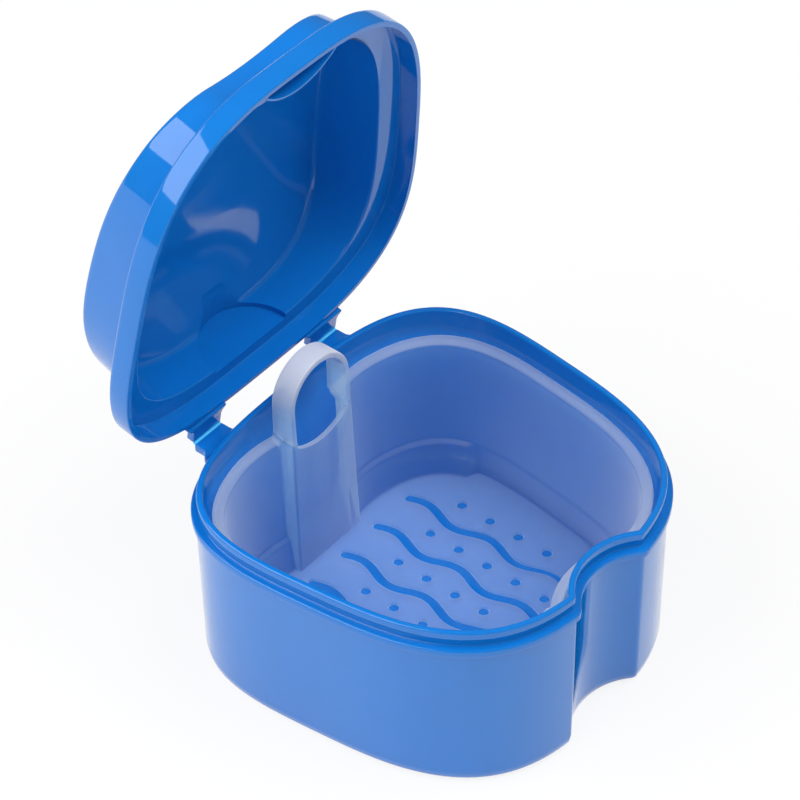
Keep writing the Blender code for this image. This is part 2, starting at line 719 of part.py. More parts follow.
def main():
    clear_scene()
    rim = Outline(RIM_HALF_WIDTH, RIM_HALF_DEPTH, RIM_HALF_DEPTH)
    basket_rim = Outline(RIM_HALF_WIDTH - BASKET_SIDE_CLEARANCE, BASKET_HALF_DEPTH, BASKET_HALF_DEPTH)
    blue = plastic("blue_polypropylene", BLUE, GLOSSY)
    flexed = plastic("flexed_blue_polypropylene", FILM_BLUE, GLOSSY)
    frosted = plastic("frosted_natural_polypropylene", FROSTED, MATT)
    make_base_tub(rim, blue)
    make_basket(basket_rim, frosted)
    make_handle(frosted)
    lid_tabs = make_hinges(blue, flexed)
    lid = make_lid_shell(rim, blue)
    web = make_notch_web(rim, blue)
    hang_lid([lid, web] + lid_tabs)


main()
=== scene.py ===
"""Dresses the denture case: glossy blue box and lid, film hinges and frosted strainer basket.

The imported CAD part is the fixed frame. Every piece here stands where its CAD node stands. Sizes
are in metres, +Z is up, the front is at -Y, and the box's flat underside lies at z 0.
"""

import bisect
import json
import math

import bpy
import bmesh
from mathutils import Matrix, Vector


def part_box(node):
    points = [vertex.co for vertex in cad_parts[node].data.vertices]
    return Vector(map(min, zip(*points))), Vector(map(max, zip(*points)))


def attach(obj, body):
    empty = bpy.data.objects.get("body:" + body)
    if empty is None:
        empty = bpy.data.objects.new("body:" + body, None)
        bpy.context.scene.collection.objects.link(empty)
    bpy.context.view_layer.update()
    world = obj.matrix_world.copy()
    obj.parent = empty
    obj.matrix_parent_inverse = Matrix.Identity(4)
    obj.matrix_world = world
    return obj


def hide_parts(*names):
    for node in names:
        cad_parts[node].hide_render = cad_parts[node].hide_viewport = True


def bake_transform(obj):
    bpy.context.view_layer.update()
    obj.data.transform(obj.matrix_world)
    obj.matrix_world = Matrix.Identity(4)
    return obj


bl_info = {
    "name": "Denture case",
    "version": (1, 0, 0),
    "blender": (4, 5, 0),
    "location": "View3D > Sidebar > Case",
    "description": "Builds the looks of a hinged denture case with a strainer basket",
    "category": "Object",
}

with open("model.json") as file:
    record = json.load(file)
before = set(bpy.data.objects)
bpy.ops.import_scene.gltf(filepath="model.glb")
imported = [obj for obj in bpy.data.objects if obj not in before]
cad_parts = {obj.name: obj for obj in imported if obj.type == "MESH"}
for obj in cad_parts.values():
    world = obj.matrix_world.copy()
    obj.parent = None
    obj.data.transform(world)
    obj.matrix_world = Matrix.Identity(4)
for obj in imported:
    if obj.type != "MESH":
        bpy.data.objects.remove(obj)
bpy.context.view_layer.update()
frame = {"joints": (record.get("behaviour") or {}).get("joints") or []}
BOX_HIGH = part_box("base_tub")[1]
TAB_LOW, TAB_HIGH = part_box("base_hinge_tab_right")
BASKET_LOW, BASKET_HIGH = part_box("strainer_basket")
HANDLE_LOW, HANDLE_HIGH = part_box("basket_handle")
LID_JOINT = next(joint for joint in frame["joints"] if joint["name"] == "lid_hinge")

# The outline seen from above: how square it is, how it widens to the back, and the thumb notch
RIM_HALF_WIDTH = 0.04122
SIDE_TAPER_SHARE = 0.115
BACK_POWER = 3.158
FRONT_POWER = 2.989
NOTCH_RADIUS = 0.0136
NOTCH_DEPTH = 0.00475
NOTCH_CORNER = 0.0024
NOTCH_CORNER_LEAST = 0.0005

# Rounds that several pieces share
FINE_ROUND = 0.0003
EDGE_ROUND = 0.0004
LIP_ROUND = 0.0005

# Box: flange, groove, snap bead and lip, from the outside in
FLANGE_THICKNESS = 0.0018
FLANGE_OVERHANG = 0.0008
BASE_DRAFT = 0.0004
BASE_FLOOR = 0.0012
BASE_WALL = 0.0016
BASE_FOOT_ROUND = 0.0030
BASE_INNER_ROUND = 0.0024
BASE_FLAT_EDGE = 0.0045
BASE_INNER_FLAT_EDGE = 0.0040
LIP_INSET = 0.00122
LIP_THICKNESS = 0.0013
LIP_HEIGHT = 0.00365
SNAP_BEAD = 0.0018
SNAP_GROOVE = 0.00045

# Basket: the tray
BASKET_SIDE_CLEARANCE = 0.0029
BASKET_END_CLEARANCE = 0.0039
BASKET_NOTCH_CLEARANCE = 0.0034
BASKET_RIM_WIDTH = 0.0024
BASKET_RIM_FLAT = 0.0006
BASKET_RIM_EDGE = 0.0009
BASKET_RIM_SLOPE = 0.0009
BASKET_RIM_ROUND = 0.0002
BASKET_WALL = 0.0010
BASKET_DRAFT = 0.0008
BASKET_FLOOR = 0.0009
BASKET_FLAT_EDGE = 0.0002
BASKET_CORNER = 0.0008
BASKET_FOOT_ROUND = 0.0007

# Basket: how the back wall bends forward beside the panel, and the ledge along the back
BASKET_BEND = 0.0015
BASKET_BEND_REACH = 0.012
STEP_TOP_HEIGHT = 0.0081
STEP_EDGE_HEIGHT = 0.0071
STEP_EDGE_WIDTH = 0.0009
STEP_TILT = 0.0002
STEP_FOOT_WIDTH = 0.0026
STEP_FOOT_BEND = 0.0008
STEP_END_Y = 0.0203
STEP_END_LENGTH = 0.0020

# Basket: the raised panel, and the handle that goes on up from it
PANEL_HALF_WIDTH = 0.00892
PANEL_FLARE = 0.0006
PANEL_SETBACK = 0.01095
PANEL_LEAN = 0.00105
PANEL_WALL = 0.0013
PANEL_EDGE = 0.0005
HANDLE_STRAP = 0.0012
HANDLE_STRAP_ROUND = 0.00038
HANDLE_CROWN = 0.0003
HANDLE_PROUD = 0.00002
HANDLE_FOOT_Y = 0.0338
HANDLE_FOOT_SINK = 0.0017
HANDLE_JOG_LOW = 0.0369
HANDLE_JOG_HIGH = 0.0378
HANDLE_FILLET = 0.0010
FILLET_SINK = 0.0004
FILLET_REACH = 0.0001
LEG_CUT_MARGIN = 0.0003
LEG_CUT_HEIGHT = 0.012
OPENING_SIDE_DROP = 0.0029
OPENING_MIDDLE_DROP = 0.0057
OPENING_EDGE = 0.0003
OPENING_RUN = 0.0004
OPENING_RUN_GROWTH = 1.6

# Drain slots and holes
SLOT_COUNT = 5
SLOT_PITCH = 0.01045
SLOT_WAVE = 0.0011
SLOT_WAVELENGTH = 0.0165
SLOT_CREST = 0.0220
SLOT_BACK = 0.0260
SLOT_FRONT = -0.0220
SIDE_SLOT_FRONT = -0.0132
SIDE_SLOT_TIP_SHARE = 0.65
HOLE_BACK = 0.0162
HOLE_PITCH = 0.0074
HOLE_ROWS = 5
SIDE_HOLE_ROWS = 4
DRAIN_ROUND = 0.0003

# Lid, as it lies when shut
SKIRT_OVERHANG = 0.00017
SKIRT_WALL = 0.00112
SKIRT_GAP = 0.00077
SKIRT_HEIGHT = 0.00473
SKIRT_LEAN = 0.0002
SKIRT_ROUND = 0.0008
LEDGE_THICKNESS = 0.0012
LEDGE_RISE = 0.0008
LID_WALL = 0.0012
DOME_SIDE_INSET = 0.0063
DOME_BACK_INSET = 0.0038
DOME_FRONT_INSET = 0.0028
DOME_NOTCH_RADIUS = 0.0420
DOME_NOTCH_DEPTH = 0.0055
DOME_NOTCH_CORNER = 0.0142
DOME_SIDE_DRAFT = 0.0020
DOME_FRONT_DRAFT = 0.0002
CROWN_HEIGHT = 0.0205
CROWN_SETBACK = 0.0105
CROWN_FRONT_RADIUS = 0.154
CROWN_BACK_RADIUS = 0.0615
CROWN_ROUND = 0.0010
CROWN_INNER_ROUND = 0.0020
POCKET_CLEARANCE = 0.0018
POCKET_SETBACK = 0.0010
POCKET_SINK = 0.0013
RIB_THICKNESS = 0.0005
RIB_INSET = 0.0008
RIB_SINK = 0.0004
RIB_ROUND = 0.00015

# Hinges
TAB_SINK = 0.0006
TAB_FLARE = 0.0013
TAB_FLARE_SHARE = 0.6
TAB_FLARE_ROUND = 0.0009
TAB_SLACK = 0.00005
TAB_LIFT = 0.00015
FILM_RADIUS = 0.00028
FILM_THICKNESS = 0.0002
FILM_SINK = 0.0004
FILM_MARGIN = 0.0002
FILM_BLEND_RISE = 0.0004

# How finely the round stretches are drawn, and how far a cut overruns what it cuts
BACK_STEPS = 84
BASKET_STEPS = 132
CORNER_STEPS = 8
NOTCH_STEPS = 18
SOFT_STEPS = 3
FINE_SOFT_STEPS = 4
ROUND_SAG = 0.3
ROUND_MOST = 0.48
ARCH_STEPS = 40
JOG_STEPS = 6
FILLET_STEPS = 6
FILM_STEPS = 16
SLOT_STEPS = 36
SLOT_END_STEPS = 8
HOLE_SIDES = 24
TABLE_STEPS = 1440
CROWN_SHARES = (0.08, 0.2, 0.35, 0.5, 0.65, 0.8, 0.9, 0.96)
SHOULDER_SHARE = 0.97
SMOOTH_ANGLE = math.radians(40)
CUT_OVERRUN = 0.002
WELD_DISTANCE = 1e-7

# The basket's plastic: how much light it sends back at each surface, seen square on; how much more
# white is painted on the handle's arch, as painted light for the key light that falls on it while
# the legs stand in shade; how much more on upward faces from the flat floor up to the flat rim,
# partly the plastic seen through more of its depth and partly painted light for the light from
# above, which reaches the rim more than the floor; and how much of the rest goes on spread out, so
# that what lies behind blurs
BASKET_MILK = 0.035
ARCH_PAINTED_LIGHT = 0.57
ARCH_PAINTED_LIGHT_BELOW = 0.002
ARCH_PAINTED_LIGHT_ABOVE = 0.005
FLOOR_DEPTH_AND_PAINTED_LIGHT = 0.07
RIM_DEPTH_AND_PAINTED_LIGHT = 0.23
BASKET_HAZE = 0.30

# The studio. Brightness is a share of the white of the background
FLOOR_HALF_SIDE = 3.0
FLOOR_WHITE = 0.85
WORLD_FILL = 0.05
STUDIO_DIM = 0.14
STUDIO_RADIUS = 1.8
STUDIO_SIDES = 48
STUDIO_LEVELS = (0.1, 10, 20, 30, 40, 50, 60, 70, 80, 86)
TABLE_REACH = 1.0
TABLE_EDGE_HEIGHT = 0.003
LIGHT_TARGET = Vector((0, 0.02, 0.07))
# Name, azimuth and elevation in degrees, distance, width, height, brightness, shows in gloss
SOFTBOXES = (
    ("key_softbox", -122, 44, 1.0, 1.3, 0.78, 3.3, True),
    ("right_fill", 42, 60, 1.2, 0.9, 0.9, 4.0, False),
    ("left_fill", -35, 48, 1.2, 0.9, 0.9, 1.3, False),
)

# The camera, where a fit of the case's rim, handle and lid in the photograph puts it
CAMERA_AZIMUTH = -49.98
CAMERA_ELEVATION = 43.35
CAMERA_ROLL = -0.98
CAMERA_DISTANCE = 0.6606
CAMERA_TARGET = Vector((0.0023, 0.0126, 0.0520))
CAMERA_LENS = 153.5
CAMERA_SENSOR = 36
CAMERA_NEAR = 0.05
CAMERA_FAR = 20

# Places worked out from the frame
RIM_HALF_DEPTH = BOX_HIGH.y
FLANGE_TOP = BOX_HIGH.z - LIP_HEIGHT
HINGE = Vector(LID_JOINT["pos_m"])
LID_OPEN = math.radians(LID_JOINT["range_deg"][1])
TAB_HALF_WIDTH = (TAB_HIGH.x - TAB_LOW.x) / 2
BASKET_DEPTH = RIM_HALF_DEPTH - BASKET_END_CLEARANCE
BASKET_RIM_Z = BASKET_HIGH.z
BASKET_BOTTOM_Z = BASKET_LOW.z
BASKET_FLOOR_Z = BASKET_BOTTOM_Z + BASKET_FLOOR
HANDLE_HALF_WIDTH = HANDLE_HIGH.x
HANDLE_CENTRE_Z = HANDLE_HIGH.z - HANDLE_HALF_WIDTH
PANEL_FRONT_Y = RIM_HALF_DEPTH - PANEL_SETBACK
SKIRT_BOTTOM_Z = FLANGE_TOP + SKIRT_GAP
SKIRT_TOP_Z = SKIRT_BOTTOM_Z + SKIRT_HEIGHT
LEDGE_TOP_Z = SKIRT_TOP_Z + LEDGE_RISE
LEDGE_UNDER_Z = LEDGE_TOP_Z - LEDGE_THICKNESS
POCKET_FRONT_Y = HANDLE_LOW.y - POCKET_CLEARANCE


def linear(hex_colour, alpha=1.0):
    """An sRGB hex colour as linear red, green, blue and alpha."""
    parts = [int(hex_colour[i:i + 2], 16) / 255 for i in (1, 3, 5)]
    curve = [p / 12.92 if p <= 0.04045 else ((p + 0.055) / 1.055) ** 2.4 for p in parts]
    return (*curve, alpha)


class Outline:
    """The right half of a rounded outline, with a table of lengths to space points evenly."""

    def __init__(self, half_width, back_depth, front_depth,
                 notch_radius=NOTCH_RADIUS, notch_depth=NOTCH_DEPTH):
        self.notch_radius = notch_radius
        self.notch_centre = Vector((0, notch_depth - RIM_HALF_DEPTH - notch_radius))
        self.half_width = half_width
        self.back_depth = back_depth
        self.front_depth = front_depth
        self.turns = [math.pi * i / TABLE_STEPS for i in range(TABLE_STEPS + 1)]
        points = [self.point(turn) for turn in self.turns]
        self.lengths = [0.0]
        for before, after in zip(points, points[1:]):
            self.lengths.append(self.lengths[-1] + (after - before).length)

    def point(self, turn):
        """The place at a turn of 0 (middle of the back) to pi (middle of the front)."""
        along = math.cos(turn)
        across = abs(math.sin(turn))
        depth, power = self.front_depth, FRONT_POWER
        if along > 0:
            depth, power = self.back_depth, BACK_POWER
        y = math.copysign(depth * abs(along) ** (2 / power), along)
        return Vector(((self.half_width + SIDE_TAPER_SHARE * y) * across ** (2 / power), y))

    def inset_point(self, turn, inset):
        """The place this far inside the outline."""
        step = math.pi / TABLE_STEPS
        ahead = self.point(min(turn + step, math.pi)) - self.point(max(turn - step, 0))
        if turn <= 0 or turn >= math.pi:
            ahead = Vector((1 if turn <= 0 else -1, 0))
        return self.point(turn) + inset * Vector((ahead.y, -ahead.x)).normalized()

    def turn_at(self, length):
        """The turn at a length along the outline from the middle of the back."""
        low = min(max(bisect.bisect_right(self.lengths, length) - 1, 0), TABLE_STEPS - 1)
        share = (length - self.lengths[low]) / (self.lengths[low + 1] - self.lengths[low])
        return self.turns[low] + share * (self.turns[low + 1] - self.turns[low])

    def length_at(self, turn):
        """The length along the outline from the middle of the back to a turn."""
        place = turn / math.pi * TABLE_STEPS
        low = min(int(place), TABLE_STEPS - 1)
        return self.lengths[low] + (place - low) * (self.lengths[low + 1] - self.lengths[low])


def halve(low, high, too_low):
    """The number between low and high at which too_low turns false."""
    for _ in range(40):
        middle = (low + high) / 2
        if too_low(middle):
            low = middle
        else:
            high = middle
    return (low + high) / 2


def notch_meeting(outline, inset, notch_inset, corner):
    """The turn at which a corner round touches both the inset outline and the notch."""
    reach = outline.notch_radius + notch_inset + corner

    def too_low(turn):
        return (outline.inset_point(turn, inset + corner) - outline.notch_centre).length > reach

    return halve(math.pi / 2, math.pi, too_low)


def arc_points(centre, start, end, steps):
    """Points after the start of the shorter arc about the centre, up to its end."""
    first = math.atan2(start.y - centre.y, start.x - centre.x)
    turn = math.remainder(math.atan2(end.y - centre.y, end.x - centre.x) - first, 2 * math.pi)
    radius = (start - centre).length
    angles = [first + turn * i / steps for i in range(1, steps + 1)]
    return [centre + radius * Vector((math.cos(angle), math.sin(angle))) for angle in angles]


def right_half(outline, inset, notch_inset, corner, notched, back_length=0, further=None,
               steps=BACK_STEPS):
    """Points of one level from the middle of the back, round the right side, to the front's.

    Further gives how much further in than the inset a point of the outline lies.
    """
    corner = max(corner, NOTCH_CORNER_LEAST)
    turn = notch_meeting(outline, inset, notch_inset, corner)
    reach = outline.length_at(turn)
    span = reach - back_length
    points = []
    for t in [outline.turn_at(back_length + span * i / steps) for i in range(steps)] + [turn]:
        more = further(outline.point(t)) if further else 0
        points.append(outline.inset_point(t, inset + more))
    if notched:
        centre = outline.notch_centre
        radius = outline.notch_radius + notch_inset
        round_centre = outline.inset_point(turn, inset + corner)
        touch = centre + (round_centre - centre).normalized() * radius
        deepest = centre + Vector((0, radius))
        points += arc_points(round_centre, points[-1], touch, CORNER_STEPS)
        points += arc_points(centre, touch, deepest, NOTCH_STEPS)
    else:
        rest = outline.lengths[-1] - reach
        steps = CORNER_STEPS + NOTCH_STEPS
        turns = [outline.turn_at(reach + rest * i / steps) for i in range(1, steps)] + [math.pi]
        points += [outline.inset_point(t, inset) for t in turns]
    points[-1].x = 0
    return points


def whole(half, height):
    """A closed level from its right half. The height is a number, or a function of the place."""
    flat = half + [Vector((-p.x, p.y)) for p in reversed(half[1:-1])]
    return [Vector((p.x, p.y, height(p) if callable(height) else height)) for p in flat]


def ring(outline, inset, height, notch_inset=None, corner=None, notched=True):
    """One closed level of a moulding."""
    notch_inset = inset if notch_inset is None else notch_inset
    corner = NOTCH_CORNER - notch_inset if corner is None else corner
    half = right_half(outline, inset, notch_inset, corner, notched)
    half[0].x = 0
    return whole(half, height)


def plain_ring(outline, inset, height):
    """A level that runs straight across the notch, with as many points as a notched one."""
    return ring(outline, inset, height, 0, NOTCH_CORNER, False)


def bent(before, here, after, setback, share):
    """A point on the round that replaces a corner, from one setback before it to one after it.

    Neither end passes the middle of its side, so that rounds on a short side don't cross.
    """
    start = here + (before - here) * min(setback / max((before - here).length, 1e-9), ROUND_MOST)
    end = here + (after - here) * min(setback / max((after - here).length, 1e-9), ROUND_MOST)
    return start.lerp(here, share).lerp(here.lerp(end, share), share)


def softened(levels):
    """Levels [(ring, setback)] with a round in place of each corner that has a setback."""
    rings = [levels[0][0]]
    for (before, _), (here, setback), (after, _) in zip(levels, levels[1:], levels[2:]):
        if not setback:
            rings.append(here)
            continue
        for i in range(SOFT_STEPS + 1):
            rings.append([bent(a, b, c, setback, i / SOFT_STEPS)
                          for a, b, c in zip(before, here, after)])
    return rings + [levels[-1][0]]


def rounded_loop(points, setbacks):
    """A closed flat loop with a round at each corner that has a setback."""
    loop = []
    for i, (here, setback) in enumerate(zip(points, setbacks)):
        if not setback:
            loop.append(here)
            continue
        after = points[(i + 1) % len(points)]
        loop += [bent(points[i - 1], here, after, setback, j / FINE_SOFT_STEPS)
                 for j in range(FINE_SOFT_STEPS + 1)]
    return loop


def add_band(builder, first, second):
    """A band of faces between two closed loops of vertices."""
    for i in range(len(first)):
        j = (i + 1) % len(first)
        builder.faces.new((first[i], first[j], second[j], second[i]))


def skin(rings, first="flat", last="flat"):
    """Skin a stack of closed rings. Each end is flat, a fan about a centre, or left open."""
    builder = bmesh.new()
    levels = [[builder.verts.new(p) for p in level] for level in rings]
    count = len(levels[0])
    for lower, upper in zip(levels, levels[1:]):
        add_band(builder, lower, upper)
    for end, level in ((first, levels[0]), (last, levels[-1])):
        if end == "flat":
            builder.faces.new(level)
        elif end is not None:
            hub = builder.verts.new(end)
            for i in range(count):
                builder.faces.new((level[i], level[(i + 1) % count], hub))
    return builder


def prism(points, direction):
    """A flat loop of points extruded along a direction."""
    builder = bmesh.new()
    near = [builder.verts.new(p) for p in points]
    far = [builder.verts.new(Vector(p) + direction) for p in points]
    builder.faces.new(near)
    builder.faces.new(list(reversed(far)))
    add_band(builder, far, near)
    return builder


def shade(mesh):
    """Smooth shading up to the angle at which an edge counts as sharp."""
    mesh.shade_smooth()
    mesh.set_sharp_from_angle(angle=SMOOTH_ANGLE)


def new_object(name, builder):
    """An object with outward faces from a bmesh."""
    bmesh.ops.remove_doubles(builder, verts=builder.verts, dist=WELD_DISTANCE)
    bmesh.ops.recalc_face_normals(builder, faces=builder.faces)
    mesh = bpy.data.meshes.new(name)
    builder.to_mesh(mesh)
    builder.free()
    shade(mesh)
    obj = bpy.data.objects.new(name, mesh)
    bpy.context.scene.collection.objects.link(obj)
    return obj


def keep_modified(obj):
    """Make the result of the object's modifiers its mesh."""
    graph = bpy.context.evaluated_depsgraph_get()
    mesh = bpy.data.meshes.new_from_object(obj.evaluated_get(graph))
    obj.modifiers.clear()
    old = obj.data
    obj.data = mesh
    mesh.name = obj.name
    bpy.data.meshes.remove(old)
    mesh.validate()
    shade(mesh)


def carve(obj, steps):
    """Cut and join with (operation, tool) steps, and remove the tools."""
    for operation, tool in steps:
        modifier = obj.modifiers.new(tool.name, "BOOLEAN")
        modifier.operation = operation
        modifier.solver = "EXACT"
        modifier.object = tool
    keep_modified(obj)
    for _, tool in steps:
        bpy.data.objects.remove(tool)


def soften_edges(obj, width):
    """A small round on every edge of the object."""
    modifier = obj.modifiers.new("soft_edges", "BEVEL")
    modifier.width = width
    modifier.segments = SOFT_STEPS
    modifier.limit_method = "ANGLE"
    modifier.angle_limit = SMOOTH_ANGLE
    modifier.harden_normals = False
    keep_modified(obj)


# Materials


def add_node(tree, kind, settings=(), inputs=(), links=()):
    """Add a node with its settings, inputs and links, each link as (input, node, output)."""
    node = tree.nodes.new(kind)
    for name, value in settings:
        setattr(node, name, value)
    for name, value in inputs:
        node.inputs[name].default_value = value
    for name, source, output in links:
        tree.links.new(source.outputs[output], node.inputs[name])
    return node


def new_material(name, colour, roughness, ior, specular):
    """A Principled material with its tree and its shader."""
    material = bpy.data.materials.new(name)
    material.use_nodes = True
    shader = material.node_tree.nodes["Principled BSDF"]
    shader.inputs["Base Color"].default_value = colour
    shader.inputs["Roughness"].default_value = roughness
    shader.inputs["IOR"].default_value = ior
    shader.inputs["Specular IOR Level"].default_value = specular
    return material, material.node_tree, shader


def noise(tree, size, detail=2.0, roughness=0.5, stretch=None):
    """Noise on the object, its lumps this many metres across and longer along a stretched axis."""
    coordinates = add_node(tree, "ShaderNodeTexCoord")
    source = (coordinates, "Object")
    if stretch:
        mapping = add_node(tree, "ShaderNodeMapping", [], [("Scale", stretch)],
                           [("Vector", *source)])
        source = (mapping, "Vector")
    values = [("Scale", 1 / size), ("Detail", detail), ("Roughness", roughness)]
    return add_node(tree, "ShaderNodeTexNoise", [], values, [("Vector", *source)])


def clouds(tree, low, high, *pattern):
    """Noise whose middle half is spread from low to high."""
    return add_node(tree, "ShaderNodeMapRange", [],
                    [("From Min", 0.3), ("From Max", 0.7), ("To Min", low), ("To Max", high)],
                    [("Value", noise(tree, *pattern), "Fac")])


def relief(tree, shader, layers):
    """Bump the shader with layers of noise, (height in metres, pattern), the coarsest first."""
    normal = None
    for height, *pattern in layers:
        links = [("Height", noise(tree, *pattern), "Fac")]
        if normal:
            links.append(("Normal", normal, "Normal"))
        normal = add_node(tree, "ShaderNodeBump", [], [("Strength", 1.0), ("Distance", height)],
                          links)
    tree.links.new(normal.outputs["Normal"], shader.inputs["Normal"])


def gloss_blue(colours):
    """Blue polypropylene, injection moulded in a polished mould.

    The mould's hand polish leaves a 0.7 mm orange peel a micron deep, and shrinkage over the walls
    a slow wave 14 mm long, so reflections have clean edges that swim a little. Flow from the gate
    streaks the colour by 2 %. Handling dulls the gloss in 5 mm clouds.
    """
    blue = tuple(colours.box_blue)
    material, tree, shader = new_material("blue_polypropylene_polished", blue, 0.05, 1.52, 0.6)
    relief(tree, shader, [(0.00003, 0.014, 1.0), (0.0000015, 0.0007)])
    dulled = clouds(tree, 0.04, 0.075, 0.005, 3.0, 0.6)
    tree.links.new(dulled.outputs["Result"], shader.inputs["Roughness"])
    streak = clouds(tree, 0.98, 1.02, 0.006, 3.0, 0.6, (1, 1, 0.35))
    colour = add_node(tree, "ShaderNodeVectorMath", [("operation", "SCALE")], [(0, blue[:3])],
                      [("Scale", streak, "Result")])
    tree.links.new(colour.outputs["Vector"], shader.inputs["Base Color"])
    return material


def film_blue(colours):
    """The same polypropylene drawn thin by the first bend.

    Drawing leaves it paler, less glossy, and lined 0.3 mm apart across the fold.
    """
    blue = tuple(colours.film_blue)
    material, tree, shader = new_material("blue_polypropylene_flexed", blue, 0.2, 1.49, 0.5)
    relief(tree, shader, [(0.00001, 0.0003, 2.0, 0.5, (0.15, 1, 1))])
    return material


def frosted_natural(colours):
    """Natural polypropylene, moulded 1 mm thick in a sand-blasted mould.

    Unpigmented polypropylene is milky. At a wall seen square on most light goes straight through,
    some goes on spread out, and a little comes back white, with 3 mm flow clouds in it. More comes
    back where the wall is seen at a slant. The much whiter arch is painted light, for the key light
    that falls on it while the legs stand in shade. Upward faces are whiter the higher they stand,
    from the floor up to the rim: partly the plastic seen through more of its depth, partly painted
    light for the light from above, which reaches the rim more than the floor. The blasted mould
    leaves a 0.25 mm grain that spreads the gloss into a satin sheen, duller in 4 mm clouds, and
    shrinkage leaves a 9 mm wave.
    """
    white = tuple(colours.basket_white)
    material, tree, shader = new_material("natural_polypropylene_frosted", white, 0.38, 1.7, 0.8)
    relief(tree, shader, [(0.00003, 0.009, 1.0), (0.000008, 0.00025, 3.0, 0.6)])
    dulled = clouds(tree, 0.33, 0.43, 0.004, 3.0, 0.6)
    tree.links.new(dulled.outputs["Result"], shader.inputs["Roughness"])

    place = add_node(tree, "ShaderNodeTexCoord")
    height = add_node(tree, "ShaderNodeSeparateXYZ", [], [], [("Vector", place, "Object")])
    facing = add_node(tree, "ShaderNodeSeparateXYZ", [], [], [("Vector", place, "Normal")])
    milk = clouds(tree, BASKET_MILK * 0.94, BASKET_MILK * 1.06, 0.003, 4.0, 0.6)
    # Painted light: the arch above the handle's centre is made far whiter than the legs, for the
    # key light that falls on it
    arch = add_node(tree, "ShaderNodeMapRange", [],
                    [("From Min", HANDLE_CENTRE_Z - ARCH_PAINTED_LIGHT_BELOW),
                     ("From Max", HANDLE_CENTRE_Z + ARCH_PAINTED_LIGHT_ABOVE),
                     ("To Min", 0.0), ("To Max", ARCH_PAINTED_LIGHT)], [("Value", height, "Z")])
    # Upward faces whiter the higher they stand, floor to rim: partly the plastic's depth, partly
    # painted light from above
    upward = add_node(tree, "ShaderNodeMapRange", [], [("From Min", 0.5), ("From Max", 0.94)],
                      [("Value", facing, "Z")])
    flat = add_node(tree, "ShaderNodeMapRange", [],
                    [("From Min", BASKET_FLOOR_Z), ("From Max", BASKET_RIM_Z),
                     ("To Min", FLOOR_DEPTH_AND_PAINTED_LIGHT), ("To Max", RIM_DEPTH_AND_PAINTED_LIGHT)], [("Value", height, "Z")])
    slant = add_node(tree, "ShaderNodeLayerWeight", [], [("Blend", 0.5)])
    edge = add_node(tree, "ShaderNodeMath", [("operation", "POWER")], [(1, 3.0)],
                    [(0, slant, "Facing")])
    # The milk plus the arch's painted light
    milk_and_painted_arch_light = add_node(tree, "ShaderNodeMath", [("operation", "ADD")], [],
                         [(0, milk, "Result"), (1, arch, "Result")])
    # Adds the upward faces' depth and painted light
    milk_depth_and_painted_light = add_node(tree, "ShaderNodeMath", [("operation", "MULTIPLY_ADD")], [],
                       [(0, upward, "Result"), (1, flat, "Result"), (2, milk_and_painted_arch_light, "Value")])
    share = add_node(tree, "ShaderNodeMath", [("operation", "ADD"), ("use_clamp", True)], [],
                     [(0, edge, "Value"), (1, milk_depth_and_painted_light, "Value")])

    clear = add_node(tree, "ShaderNodeBsdfTransparent", [], [("Color", (1, 1, 1, 1))])
    haze = add_node(tree, "ShaderNodeBsdfTranslucent", [], [("Color", (0.65, 0.90, 0.98, 1))])
    through = add_node(tree, "ShaderNodeMixShader", [], [("Fac", BASKET_HAZE)],
                       [(1, clear, "BSDF"), (2, haze, "BSDF")])
    mix = add_node(tree, "ShaderNodeMixShader", [], [],
                   [("Fac", share, "Value"), (1, through, "Shader"), (2, shader, "BSDF")])
    tree.links.new(mix.outputs["Shader"], tree.nodes["Material Output"].inputs["Surface"])
    return material


# Pieces


def dress(piece, material, slot, body, *nodes):
    """Give a piece its material, its body if any and the nodes it replaces. Slot is not used."""
    piece.data.materials.clear()
    piece.data.materials.append(material)
    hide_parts(*nodes)
    if body:
        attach(piece, body)


def sweep(turn, steps):
    """Cosine and sine at each step of a turn, its start and end included."""
    return [(math.cos(turn * i / steps), math.sin(turn * i / steps)) for i in range(steps + 1)]


def box_rings(rim):
    """Levels of the box from its underside, up the outside, over the lip and down inside."""
    wall_foot = FLANGE_OVERHANG + BASE_DRAFT
    inner_foot = wall_foot + BASE_WALL
    flange_low = FLANGE_TOP - FLANGE_THICKNESS
    lip_top = FLANGE_TOP + LIP_HEIGHT
    groove = LIP_INSET + SNAP_GROOVE
    bead_foot = lip_top - SNAP_BEAD
    levels = [
        (wall_foot + BASE_FLAT_EDGE, 0, 0),
        (wall_foot, 0, BASE_FOOT_ROUND),
        (FLANGE_OVERHANG, flange_low, EDGE_ROUND),
        (0, flange_low, FINE_ROUND),
        (0, FLANGE_TOP, EDGE_ROUND),
        (groove, FLANGE_TOP, FINE_ROUND),
        (groove, bead_foot - SNAP_GROOVE, FINE_ROUND),
        (LIP_INSET, bead_foot, FINE_ROUND),
        (LIP_INSET, lip_top, LIP_ROUND),
        (LIP_INSET + LIP_THICKNESS, lip_top, LIP_ROUND),
        (inner_foot, BASE_FLOOR, BASE_INNER_ROUND),
        (inner_foot + BASE_INNER_FLAT_EDGE, BASE_FLOOR, 0),
    ]
    return softened([(ring(rim, inset, height), setback) for inset, height, setback in levels])


def make_box(colours):
    """The box, in one skin."""
    rim = Outline(RIM_HALF_WIDTH, RIM_HALF_DEPTH, RIM_HALF_DEPTH)
    box = new_object("blue_box", skin(box_rings(rim)))
    dress(box, gloss_blue(colours), "blue_polypropylene", "base", "base_tub")


